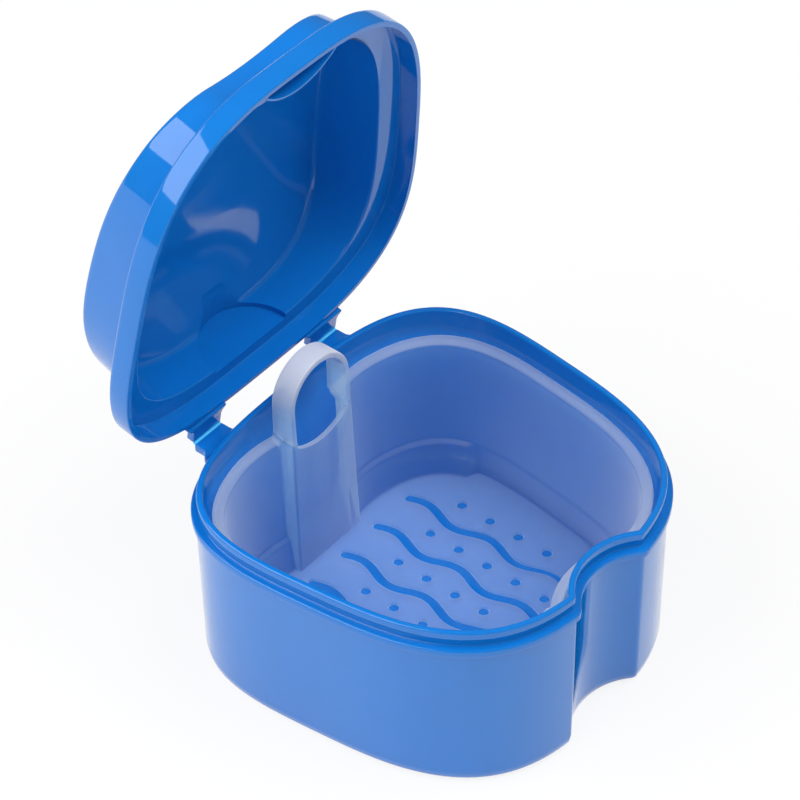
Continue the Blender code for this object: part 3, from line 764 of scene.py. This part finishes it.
def crown_z(y):
    """Height of the lid's crowned top at a place along Y."""
    radius = CROWN_FRONT_RADIUS if y < CROWN_SETBACK else CROWN_BACK_RADIUS
    return FLANGE_TOP + CROWN_HEIGHT - (y - CROWN_SETBACK) ** 2 / (2 * radius)


def dome_ring(outline, inset, height):
    """A level of the dome, whose notch has wider corner rounds than the rim's."""
    notch_inset = DOME_FRONT_INSET + inset
    return ring(outline, inset, height, notch_inset, DOME_NOTCH_CORNER - inset)


def dome_body(name, top, wall, crown_round, lower):
    """A closed body this far inside the crown, with the lower levels from the dome's edge down."""
    edge = dome_ring(top, wall, lambda p: crown_z(p.y) - wall)

    def shrunk(share):
        return [Vector((p.x * share, p.y * share, crown_z(p.y * share) - wall)) for p in edge]

    levels = [(shrunk(SHOULDER_SHARE), 0), (edge, crown_round)] + lower
    rings = [shrunk(share) for share in CROWN_SHARES] + softened(levels)
    return new_object(name, skin(rings, (0, 0, crown_z(0) - wall)))


def pocket_tool(name, growth):
    """A half-round bar over the handle's arch: the pocket or, grown by its wall, its hump."""
    radius = HANDLE_HALF_WIDTH + POCKET_CLEARANCE + growth
    back = RIM_HALF_DEPTH - DOME_BACK_INSET + POCKET_SETBACK - LID_WALL + growth
    centre_z = HANDLE_CENTRE_Z - POCKET_SINK
    points = [(radius * c, POCKET_FRONT_Y, centre_z + radius * s)
              for c, s in sweep(math.pi, ARCH_STEPS)]
    return new_object(name, prism(points, Vector((0, back - POCKET_FRONT_Y, 0))))


def lid_surfaces(rim):
    """The outside and the inside of the lid as two closed bodies."""
    side = RIM_HALF_WIDTH - DOME_SIDE_INSET
    back = RIM_HALF_DEPTH - DOME_BACK_INSET
    front = RIM_HALF_DEPTH - DOME_FRONT_INSET
    notch = (DOME_NOTCH_RADIUS, DOME_NOTCH_DEPTH)
    foot = Outline(side, back, front, *notch)
    top = Outline(side - DOME_SIDE_DRAFT, back, front - DOME_FRONT_DRAFT, *notch)
    inset = SKIRT_WALL - SKIRT_OVERHANG
    outer = dome_body("blue_lid", top, 0, CROWN_ROUND, [
        (dome_ring(foot, 0, LEDGE_TOP_Z), LIP_ROUND),
        (plain_ring(rim, -SKIRT_OVERHANG, SKIRT_TOP_Z), SKIRT_ROUND),
        (plain_ring(rim, -SKIRT_OVERHANG, SKIRT_BOTTOM_Z), FINE_ROUND),
        (plain_ring(rim, inset / 2, SKIRT_BOTTOM_Z), 0),
    ])
    inner = dome_body("lid_hollow", top, LID_WALL, CROWN_INNER_ROUND, [
        (dome_ring(foot, LID_WALL, LEDGE_UNDER_Z), LIP_ROUND),
        (plain_ring(rim, inset + SKIRT_LEAN, LEDGE_UNDER_Z), FINE_ROUND),
        (plain_ring(rim, inset, SKIRT_BOTTOM_Z - CUT_OVERRUN), 0),
    ])
    return outer, inner


def make_rib(rim):
    """The thin curved rib inside the skirt that follows the box's thumb notch."""
    inset = SKIRT_WALL - SKIRT_OVERHANG
    centre = rim.notch_centre
    radius = NOTCH_RADIUS + RIB_INSET
    tip = rim.inset_point(notch_meeting(rim, inset, RIB_INSET, 0), inset - RIB_SINK)
    start = centre + (tip - centre).normalized() * radius
    near = arc_points(centre, start, centre + Vector((0, radius)), NOTCH_STEPS)
    far = [centre + (p - centre) * (1 - RIB_THICKNESS / radius) for p in near]
    loop = near + [Vector((-p.x, p.y)) for p in reversed(near[:-1])]
    loop += [Vector((-p.x, p.y)) for p in far[:-1]] + list(reversed(far))
    loop = [Vector((p.x, p.y, SKIRT_BOTTOM_Z)) for p in loop]
    rib = new_object("lid_web", prism(loop, Vector((0, 0, LEDGE_UNDER_Z - SKIRT_BOTTOM_Z))))
    soften_edges(rib, RIB_ROUND)
    return rib


def tab_block(name, centre_x, side):
    """A hinge tab with rounds where it leaves the rim. Side is 1 on the lid and -1 on the box."""
    start = RIM_HALF_DEPTH - TAB_SINK
    wide = TAB_HALF_WIDTH + TAB_FLARE
    flare_end = start + TAB_SINK + TAB_FLARE * TAB_FLARE_SHARE
    plan = [
        (wide, start, 0),
        (wide, start + TAB_SINK, 0),
        (TAB_HALF_WIDTH, flare_end, TAB_FLARE_ROUND),
        (TAB_HALF_WIDTH, HINGE.y - TAB_SLACK, EDGE_ROUND),
    ]
    plan += [(-x, y, setback) for x, y, setback in reversed(plan)]
    near = HINGE.z + side * TAB_LIFT
    loop = rounded_loop([Vector((x, y, 0)) for x, y, _ in plan], [p[2] for p in plan])
    loop = [Vector((centre_x + p.x, p.y, near)) for p in loop]
    tab = new_object(name, prism(loop, Vector((0, 0, side * (TAB_HIGH.z - TAB_LOW.z)))))
    soften_edges(tab, FINE_ROUND)
    return tab


def film_sheet(name, centre_x):
    """The thin hinge film: out of the box's tab, round the hinge line and into the lid's tab."""
    straight = HINGE.y - TAB_HIGH.y + FILM_SINK
    swing = math.pi - LID_OPEN
    line = [(-straight, -FILM_RADIUS, 0, -1)]
    for i in range(FILM_STEPS + 1):
        angle = -math.pi / 2 + i / FILM_STEPS * swing
        out_y, out_z = math.cos(angle), math.sin(angle)
        line.append((FILM_RADIUS * out_y, FILM_RADIUS * out_z, out_y, out_z))
    y, z, out_y, out_z = line[-1]
    line.append((y - straight * out_z, z + straight * out_y, out_y, out_z))
    half = FILM_THICKNESS / 2
    loop = [(y + out_y * half, z + out_z * half) for y, z, out_y, out_z in line]
    loop += [(y - out_y * half, z - out_z * half) for y, z, out_y, out_z in reversed(line)]
    half_width = TAB_HALF_WIDTH - FILM_MARGIN
    points = [Vector((centre_x - half_width, HINGE.y + y, HINGE.z + z)) for y, z in loop]
    return new_object(name, prism(points, Vector((2 * half_width, 0, 0))))


def make_hinges(colours):
    """Both hinges: the box's tab, the lid's tab and the film that bends between them."""
    blue = gloss_blue(colours)
    flexed = film_blue(colours)
    turn = Matrix.Rotation(-LID_OPEN, 4, "X")
    for word, side in (("left", -1), ("right", 1)):
        centre_x = side * (TAB_LOW.x + TAB_HIGH.x) / 2
        box_tab = tab_block("box_tab_" + word, centre_x, -1)
        lid_tab = tab_block("lid_tab_" + word, centre_x, 1)
        swing_open(lid_tab)
        film = film_sheet("film_" + word, centre_x)
        dress(box_tab, blue, "blue_polypropylene", "base", "base_hinge_tab_" + word)
        dress(lid_tab, blue, "blue_polypropylene", "lid", "lid_hinge_tab_" + word)
        dress(film, flexed, "flexed_polypropylene", None, "hinge_film_" + word)
        end = HINGE + turn @ Vector((0, TAB_HIGH.y - HINGE.y, FILM_BLEND_RISE))
        end.x = centre_x
        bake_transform(film)


def swing_open(obj):
    """Turn a piece, built as it lies when shut, about the hinge line to where the frame has it."""
    about = Matrix.Translation(HINGE)
    obj.data.transform(about @ Matrix.Rotation(-LID_OPEN, 4, "X") @ about.inverted())


def make_lid(colours):
    """The lid with the pocket for the handle, and the rib at its front."""
    rim = Outline(RIM_HALF_WIDTH, RIM_HALF_DEPTH, RIM_HALF_DEPTH)
    lid, hollow = lid_surfaces(rim)
    carve(hollow, [("UNION", pocket_tool("pocket_hollow", 0))])
    carve(lid, [("UNION", pocket_tool("pocket_hump", LID_WALL)), ("DIFFERENCE", hollow)])
    blue = gloss_blue(colours)
    for piece, node in ((lid, "lid_shell"), (make_rib(rim), "lid_notch_web")):
        swing_open(piece)
        dress(piece, blue, "blue_polypropylene", "lid", node)


def panel_drop(height):
    """How far down the panel a height is: 0 at the rim, 1 at the floor, below 0 on the handle."""
    return (BASKET_RIM_Z - height) / (BASKET_RIM_Z - BASKET_FLOOR_Z)


def panel_face_y(height):
    """Y of the face that the panel and the handle share."""
    return PANEL_FRONT_Y - PANEL_LEAN * panel_drop(height)


def basket_ring(outline, inset, step, height, behind=False):
    """A level of the basket, whose path turns in round the panel.

    Step is how much further in the wall stands along the back, below the ledge. Behind is the
    panel's hollow side. The foot bends forward beside the panel less than the wall above it.
    """
    wall = PANEL_WALL if behind else 0
    half_width = PANEL_HALF_WIDTH + PANEL_FLARE * panel_drop(height) - wall
    face = panel_face_y(height) + wall
    notch_inset = inset + BASKET_NOTCH_CLEARANCE
    most = STEP_FOOT_BEND if step == STEP_FOOT_WIDTH else BASKET_BEND

    def beside_panel(turn):
        return outline.inset_point(turn, inset).x < half_width + PANEL_EDGE

    def further(place):
        bend = max(1 - (place.x - PANEL_HALF_WIDTH) / BASKET_BEND_REACH, 0)
        share = min(max((place.y - STEP_END_Y) / STEP_END_LENGTH, 0), 1)
        return most * min(bend, 1) ** 2 + step * share

    back_length = outline.length_at(halve(0, math.pi / 4, beside_panel))
    half = right_half(outline, inset, notch_inset, NOTCH_CORNER - notch_inset, True, back_length,
                      further, BASKET_STEPS)
    middle = Vector((0, face))
    edge = Vector((half_width, face))
    back = Vector((half_width, half[0].y))
    detour = [middle]
    for before, here, after in ((middle, edge, back), (edge, back, half[0])):
        detour += [bent(before, here, after, PANEL_EDGE, i / SOFT_STEPS)
                   for i in range(SOFT_STEPS + 1)]
    return whole(detour + half[1:], height)


def slot_loop(middle, front, tip_share, half_width):
    """One wavy slot with round ends, seen from above. Its front half narrows to the tip."""
    sides = ([], [])
    ends = []
    for i in range(SLOT_STEPS + 1):
        share = i / SLOT_STEPS
        y = SLOT_BACK + (front - SLOT_BACK) * share
        phase = 2 * math.pi * (y - SLOT_CREST) / SLOT_WAVELENGTH
        centre = Vector((middle + SLOT_WAVE * math.cos(phase), y))
        slope = -SLOT_WAVE * 2 * math.pi / SLOT_WAVELENGTH * math.sin(phase)
        along = Vector((-slope, -1)).normalized()
        aside = Vector((-along.y, along.x))
        reach = half_width * (1 + (tip_share - 1) * max(2 * share - 1, 0))
        sides[0].append(centre + aside * reach)
        sides[1].append(centre - aside * reach)
        if i in (0, SLOT_STEPS):
            ends.append((centre, along, aside, reach))
    rounds = [[centre + way * reach * (aside * c + along * s)
               for c, s in sweep(math.pi, SLOT_END_STEPS)[1:-1]]
              for (centre, along, aside, reach), way in zip(ends, (-1, 1))]
    return sides[0] + rounds[1] + sides[1][::-1] + rounds[0]


def circle_loop(centre_x, centre_y, radius):
    """A round hole, seen from above."""
    return [Vector((centre_x + radius * c, centre_y + radius * s))
            for c, s in sweep(-2 * math.pi, HOLE_SIDES)[:-1]]


def drain_loops(sizes, growth):
    """The outline of each slot and hole, grown by this much. The outermost ones are shorter."""
    reach = (SLOT_COUNT - 1) // 2
    half_width = sizes.slot_width / 2 + growth
    radius = sizes.hole_diameter / 2 + growth
    loops = []
    for i in range(-reach, reach + 1):
        outermost = abs(i) == reach
        front = SIDE_SLOT_FRONT if outermost else SLOT_FRONT
        tip_share = SIDE_SLOT_TIP_SHARE if outermost else 1
        loops.append(slot_loop(i * SLOT_PITCH, front, tip_share, half_width))
    for i in range(-reach - 1, reach + 1):
        for row in range(SIDE_HOLE_ROWS if i in (-reach - 1, reach) else HOLE_ROWS):
            loops.append(circle_loop((i + 0.5) * SLOT_PITCH, HOLE_BACK - row * HOLE_PITCH, radius))
    return loops


def add_drains(builder, sizes):
    """The rounded walls of the slots and holes. Returns their loops in the floor's two faces."""
    sag = DRAIN_ROUND * ROUND_SAG
    drains = []
    for growth, height in (
        (DRAIN_ROUND, BASKET_FLOOR_Z),
        (sag, BASKET_FLOOR_Z - sag),
        (0, BASKET_FLOOR_Z - DRAIN_ROUND),
        (0, BASKET_BOTTOM_Z + DRAIN_ROUND),
        (DRAIN_ROUND, BASKET_BOTTOM_Z),
    ):
        drains.append([[builder.verts.new((p.x, p.y, height)) for p in loop]
                       for loop in drain_loops(sizes, growth)])
    for upper, lower in zip(drains, drains[1:]):
        for above, below in zip(upper, lower):
            add_band(builder, above, below)
    return drains[0], drains[-1]


def make_tray(sizes, outline):
    """The tray: one skin from its underside, over the rim, to its floor, and the drained floor.

    Each level is its inset, how far the step stands in, its height, its round's setback, and
    whether it is on the underside.
    """
    wall = BASKET_RIM_WIDTH - BASKET_WALL
    foot = wall + BASKET_DRAFT
    inner_foot = foot + BASKET_WALL
    step_top = BASKET_FLOOR_Z + STEP_TOP_HEIGHT
    step_edge = BASKET_FLOOR_Z + STEP_EDGE_HEIGHT
    rim_low = BASKET_RIM_Z - BASKET_RIM_SLOPE
    levels = [
        (foot + BASKET_FOOT_ROUND + BASKET_FLAT_EDGE, STEP_FOOT_WIDTH, BASKET_BOTTOM_Z, 0, True),
        (foot, STEP_FOOT_WIDTH, BASKET_BOTTOM_Z, BASKET_FOOT_ROUND, True),
        (foot, STEP_EDGE_WIDTH, step_edge - BASKET_WALL, LIP_ROUND, True),
        (foot - STEP_TILT, 0, step_top - BASKET_WALL, LIP_ROUND, True),
        (wall, 0, rim_low - BASKET_WALL, LIP_ROUND, True),
        (0, 0, BASKET_RIM_Z - BASKET_RIM_EDGE, FINE_ROUND, True),
        (0, 0, BASKET_RIM_Z, FINE_ROUND, True),
        (BASKET_RIM_FLAT, 0, BASKET_RIM_Z, BASKET_RIM_ROUND, False),
        (BASKET_RIM_WIDTH, 0, rim_low, EDGE_ROUND, False),
        (inner_foot - STEP_TILT, 0, step_top, EDGE_ROUND, False),
        (inner_foot, STEP_EDGE_WIDTH, step_edge, EDGE_ROUND, False),
        (inner_foot, STEP_FOOT_WIDTH, BASKET_FLOOR_Z, BASKET_CORNER, False),
        (inner_foot + BASKET_CORNER + BASKET_FLAT_EDGE, STEP_FOOT_WIDTH, BASKET_FLOOR_Z, 0, False),
    ]
    rings = softened([(basket_ring(outline, inset, step, height, behind), setback)
                      for inset, step, height, setback, behind in levels])
    builder = skin(rings, None, None)
    builder.verts.ensure_lookup_table()
    count = len(rings[0])
    last = (len(rings) - 1) * count
    bottom_edge = [builder.verts[i] for i in range(count)]
    top_edge = [builder.verts[last + i] for i in range(count)]
    top_drains, bottom_drains = add_drains(builder, sizes)
    for loops in ([top_edge] + top_drains, [bottom_edge] + bottom_drains):
        edges = []
        for loop in loops:
            for pair in zip(loop, loop[1:] + loop[:1]):
                edges.append(builder.edges.get(pair) or builder.edges.new(pair))
        bmesh.ops.triangle_fill(builder, edges=edges, use_beauty=True)
    return new_object("frosted_basket", builder)


def smooth(share):
    """A share from 0 to 1, eased at both ends."""
    share = min(max(share, 0), 1)
    return share * share * (3 - 2 * share)


def make_strap(name):
    """The handle: an arched strap. Below the jog only the front of each leg goes on down."""
    jog_depth = HANDLE_JOG_HIGH - HANDLE_JOG_LOW
    heights = [BASKET_RIM_Z - HANDLE_FOOT_SINK]
    heights += [HANDLE_JOG_LOW + jog_depth * i / JOG_STEPS for i in range(JOG_STEPS + 1)]
    out = Vector((1, 0, 0))
    path = [(Vector((HANDLE_HALF_WIDTH, 0, z)), out, HANDLE_STRAP) for z in heights]
    other_leg = [(Vector((-p.x, 0, p.z)), -out, thickness) for p, _, thickness in reversed(path)]
    for c, s in sweep(math.pi, ARCH_STEPS):
        out = Vector((c, 0, s))
        place = Vector((0, 0, HANDLE_CENTRE_Z)) + out * HANDLE_HALF_WIDTH
        path.append((place, out, HANDLE_STRAP + HANDLE_CROWN * s))
    rings = []
    for place, out, thickness in path + other_leg:
        front = panel_face_y(place.z) + HANDLE_PROUD
        rise = smooth((place.z - HANDLE_JOG_LOW) / jog_depth)
        back = HANDLE_FOOT_Y + (HANDLE_HIGH.y - HANDLE_FOOT_Y) * rise
        section = [Vector((0, front)), Vector((0, back)),
                   Vector((-thickness, back)), Vector((-thickness, front))]
        rings.append([place + out * p.x + Vector((0, p.y, 0))
                      for p in rounded_loop(section, [HANDLE_STRAP_ROUND] * len(section))])
    return new_object(name, skin(rings))


def fillet_bar(name, side):
    """The small concave fillet between the rim's top and a leg's outer face."""
    edge_y = HANDLE_HIGH.y + FILLET_REACH
    flat_y = edge_y - BASKET_RIM_FLAT
    inner_x = HANDLE_HALF_WIDTH - FILLET_SINK
    rings = []
    for y in (edge_y - BASKET_RIM_WIDTH, flat_y, edge_y - 2 * FILLET_REACH):
        slope = (flat_y - y) / (BASKET_RIM_WIDTH - BASKET_RIM_FLAT)
        low = min(BASKET_RIM_Z - BASKET_RIM_SLOPE * slope, BASKET_RIM_Z)
        loop = [(inner_x, low - FILLET_SINK),
                (HANDLE_HALF_WIDTH + HANDLE_FILLET, low - FILLET_SINK)]
        loop += [(HANDLE_HALF_WIDTH + HANDLE_FILLET * (1 - s), low + HANDLE_FILLET * (1 - c))
                 for c, s in sweep(math.pi / 2, FILLET_STEPS)]
        loop.append((inner_x, low + HANDLE_FILLET))
        rings.append([Vector((side * x, y, z)) for x, z in loop])
    return new_object(name, skin(rings))


def opening_tool():
    """Cuts the handle's opening through the panel's top, with a round bottom and rounded edges.

    Each level is its y and how many edge widths the opening is wider there.
    """
    half = HANDLE_HALF_WIDTH - HANDLE_STRAP
    sag = OPENING_MIDDLE_DROP - OPENING_SIDE_DROP
    radius = (half ** 2 + sag ** 2) / (2 * sag)
    bottom = FLANGE_TOP - OPENING_MIDDLE_DROP
    top = FLANGE_TOP + CUT_OVERRUN
    face = panel_face_y(bottom)
    back = face + PANEL_WALL
    turn = OPENING_EDGE * ROUND_SAG
    rings = []
    for y, growth in ((face - OPENING_RUN, OPENING_RUN_GROWTH), (face, 1), (face + turn, ROUND_SAG),
                      (face + OPENING_EDGE, 0), (back - OPENING_EDGE, 0), (back - turn, ROUND_SAG),
                      (back, 1), (RIM_HALF_DEPTH, 1)):
        reach = radius + growth * OPENING_EDGE
        span = math.asin(half / reach)
        angles = [span * (2 * i / ARCH_STEPS - 1) for i in range(ARCH_STEPS + 1)]
        loop = [Vector((reach * math.sin(a), y, bottom + radius - reach * math.cos(a)))
                for a in angles]
        rings.append(loop + [Vector((half, y, top)), Vector((-half, y, top))])
    return new_object("opening_tool", skin(rings))


def leg_tool():
    """Opens the back between the legs, whose side walls end a little behind the panel's face."""
    wide = HANDLE_HALF_WIDTH - LEG_CUT_MARGIN
    low = BASKET_BOTTOM_Z + LEG_CUT_HEIGHT
    corners = ((-wide, low), (wide, low), (wide, HANDLE_JOG_LOW), (-wide, HANDLE_JOG_LOW))
    points = [(x, HANDLE_FOOT_Y, z) for x, z in corners]
    return new_object("leg_tool", prism(points, Vector((0, RIM_HALF_DEPTH - HANDLE_FOOT_Y, 0))))


def make_basket(sizes, colours):
    """The basket and its handle, in one piece as moulded."""
    outline = Outline(RIM_HALF_WIDTH - BASKET_SIDE_CLEARANCE, BASKET_DEPTH, BASKET_DEPTH)
    basket = make_tray(sizes, outline)
    carve(basket, [
        ("DIFFERENCE", leg_tool()),
        ("DIFFERENCE", opening_tool()),
        ("UNION", make_strap("strap")),
        ("UNION", fillet_bar("fillet_left", -1)),
        ("UNION", fillet_bar("fillet_right", 1)),
    ])
    dress(basket, frosted_natural(colours), "frosted_polypropylene", "basket",
          "strainer_basket", "basket_handle")


# Stage


def make_stage():
    """The floor, lamps, world and camera."""
    bpy.context.scene.view_settings.view_transform = "Standard"
    make_floor()
    make_world()
    make_softboxes()
    make_studio()
    make_camera()


def make_floor():
    """A pale board. Its matt paint spreads light evenly: white, but for the soft shadow on it."""
    builder = bmesh.new()
    bmesh.ops.create_grid(builder, x_segments=1, y_segments=1, size=FLOOR_HALF_SIDE)
    floor = new_object("floor", builder)
    material, tree, shader = new_material("painted_board", linear("#F4F4F6"), 0.6, 1.45, 0)
    share = add_node(tree, "ShaderNodeMath", [("operation", "MULTIPLY")], [(1, FLOOR_WHITE)],
                     [(0, seen_rays(tree), "Value")])
    white = add_node(tree, "ShaderNodeEmission", [], [("Color", (1, 1, 1, 1)), ("Strength", 1.0)])
    mix = add_node(tree, "ShaderNodeMixShader", [], [],
                   [("Fac", share, "Value"), (1, shader, "BSDF"), (2, white, "Emission")])
    tree.links.new(mix.outputs["Shader"], tree.nodes["Material Output"].inputs["Surface"])
    floor.data.materials.append(material)


def seen_rays(tree):
    """1 for camera, glossy and transmission rays."""
    path = add_node(tree, "ShaderNodeLightPath")
    first = add_node(tree, "ShaderNodeMath", [("operation", "MAXIMUM")], [],
                     [(0, path, "Is Camera Ray"), (1, path, "Is Glossy Ray")])
    return add_node(tree, "ShaderNodeMath", [("operation", "MAXIMUM")], [],
                    [(0, first, "Value"), (1, path, "Is Transmission Ray")])


def make_world():
    """White to the eye and in gloss, and a dim even light on the object."""
    world = bpy.data.worlds.new("studio")
    bpy.context.scene.world = world
    world.use_nodes = True
    tree = world.node_tree
    strength = add_node(tree, "ShaderNodeMapRange", [], [("To Min", WORLD_FILL), ("To Max", 1.0)],
                        [("Value", seen_rays(tree), "Value")])
    tree.nodes["Background"].inputs["Color"].default_value = (1, 1, 1, 1)
    tree.links.new(strength.outputs["Result"], tree.nodes["Background"].inputs["Strength"])


def towards(azimuth, elevation):
    """A unit direction. Azimuth 0 is the front and 90 the right, in degrees."""
    a = math.radians(azimuth)
    e = math.radians(elevation)
    return Vector((math.sin(a) * math.cos(e), -math.cos(a) * math.cos(e), math.sin(e)))


def make_softboxes():
    """The key, which shows in the gloss, and two fills from the front, which don't."""
    for name, azimuth, elevation, distance, width, height, brightness, shows in SOFTBOXES:
        data = bpy.data.lights.new(name, "AREA")
        data.shape = "RECTANGLE"
        data.size = width
        data.size_y = height
        data.energy = brightness * math.pi * width * height
        lamp = bpy.data.objects.new(name, data)
        bpy.context.scene.collection.objects.link(lamp)
        direction = towards(azimuth, elevation)
        lamp.location = LIGHT_TARGET + direction * distance
        lamp.rotation_mode = "QUATERNION"
        lamp.rotation_quaternion = direction.to_track_quat("Z", "Y")
        lamp.visible_glossy = shows


def make_studio():
    """The dim studio above the table's edge, as a dome that gloss shows and nothing else does."""
    levels = [(TABLE_REACH, TABLE_EDGE_HEIGHT)]
    for degrees in STUDIO_LEVELS:
        elevation = math.radians(degrees)
        levels.append((STUDIO_RADIUS * math.cos(elevation), STUDIO_RADIUS * math.sin(elevation)))
    sides = sweep(2 * math.pi, STUDIO_SIDES)[:-1]
    rings = [[Vector((radius * c, radius * s, z)) for c, s in sides] for radius, z in levels]
    studio = new_object("dim_studio", skin(rings, None, (0, 0, STUDIO_RADIUS)))
    material, _, shader = new_material("dim_studio", linear("#000000"), 1, 1.45, 0)
    shader.inputs["Emission Color"].default_value = (1, 1, 1, 1)
    shader.inputs["Emission Strength"].default_value = STUDIO_DIM
    studio.data.materials.append(material)
    for ray in ("camera", "diffuse", "transmission", "shadow"):
        setattr(studio, "visible_" + ray, False)


def make_camera():
    """The camera, level but for its roll, looking at its target."""
    camera = bpy.data.objects.new("camera", bpy.data.cameras.new("camera"))
    bpy.context.scene.collection.objects.link(camera)
    camera.data.sensor_width = CAMERA_SENSOR
    camera.data.lens = CAMERA_LENS
    camera.data.clip_start = CAMERA_NEAR
    camera.data.clip_end = CAMERA_FAR
    azimuth = math.radians(CAMERA_AZIMUTH)
    roll = math.radians(CAMERA_ROLL)
    back = towards(CAMERA_AZIMUTH, CAMERA_ELEVATION)
    right = Vector((math.cos(azimuth), math.sin(azimuth), 0))
    right = right * math.cos(roll) + back.cross(right) * math.sin(roll)
    basis = Matrix((right, back.cross(right), back)).transposed().to_4x4()
    camera.matrix_world = Matrix.Translation(CAMERA_TARGET + back * CAMERA_DISTANCE) @ basis
    bpy.context.scene.camera = camera


# Add-on


class CaseSizes(bpy.types.PropertyGroup):
    """Sizes that a user would change."""

    slot_width: bpy.props.FloatProperty(
        name="Slot width", description="Width of a drain slot", default=0.0021, unit="LENGTH")
    hole_diameter: bpy.props.FloatProperty(
        name="Hole diameter", description="Diameter of a drain hole", default=0.0022, unit="LENGTH")


class CaseColours(bpy.types.PropertyGroup):
    """Colours that a user would change."""

    box_blue: bpy.props.FloatVectorProperty(
        name="Box blue", description="Colour of the box and lid",
        default=linear("#1078D0"), size=4, subtype="COLOR")
    film_blue: bpy.props.FloatVectorProperty(
        name="Film blue", description="Colour of the hinge films",
        default=linear("#5CD2FF"), size=4, subtype="COLOR")
    basket_white: bpy.props.FloatVectorProperty(
        name="Basket white", description="Colour of the basket",
        default=linear("#F0F2FA"), size=4, subtype="COLOR")


class CASE_OT_box(bpy.types.Operator):
    """Build the blue box"""

    bl_idname = "case.box"
    bl_label = "Box"

    def execute(self, context):
        make_box(context.scene.case_colours)
        return {"FINISHED"}


class CASE_OT_lid(bpy.types.Operator):
    """Build the blue lid"""

    bl_idname = "case.lid"
    bl_label = "Lid"

    def execute(self, context):
        make_lid(context.scene.case_colours)
        return {"FINISHED"}


class CASE_OT_basket(bpy.types.Operator):
    """Build the strainer basket and its handle"""

    bl_idname = "case.basket"
    bl_label = "Basket"

    def execute(self, context):
        make_basket(context.scene.case_sizes, context.scene.case_colours)
        return {"FINISHED"}


class CASE_OT_stage(bpy.types.Operator):
    """Build the floor, light and camera"""

    bl_idname = "case.stage"
    bl_label = "Stage"

    def execute(self, context):
        make_stage()
        return {"FINISHED"}


class CASE_OT_hinges(bpy.types.Operator):
    """Build both film hinges"""

    bl_idname = "case.hinges"
    bl_label = "Hinges"

    def execute(self, context):
        make_hinges(context.scene.case_colours)
        return {"FINISHED"}


OPERATORS = (CASE_OT_box, CASE_OT_lid, CASE_OT_hinges, CASE_OT_basket, CASE_OT_stage)


class CASE_PT_panel(bpy.types.Panel):
    """Lists the case's pieces"""

    bl_label = "Denture case"
    bl_space_type = "VIEW_3D"
    bl_region_type = "UI"
    bl_category = "Case"

    def draw(self, context):
        for operator in OPERATORS:
            self.layout.operator(operator.bl_idname)


CLASSES = (CaseSizes, CaseColours) + OPERATORS + (CASE_PT_panel,)


def register():
    for cls in CLASSES:
        bpy.utils.register_class(cls)
    bpy.types.Scene.case_sizes = bpy.props.PointerProperty(type=CaseSizes)
    bpy.types.Scene.case_colours = bpy.props.PointerProperty(type=CaseColours)


def unregister():
    del bpy.types.Scene.case_colours
    del bpy.types.Scene.case_sizes
    for cls in reversed(CLASSES):
        bpy.utils.unregister_class(cls)


def main():
    """Build every piece through its operator."""
    register()
    for operator in OPERATORS:
        family, name = operator.bl_idname.split(".")
        getattr(getattr(bpy.ops, family), name)()


if __name__ == "__main__":
    main()
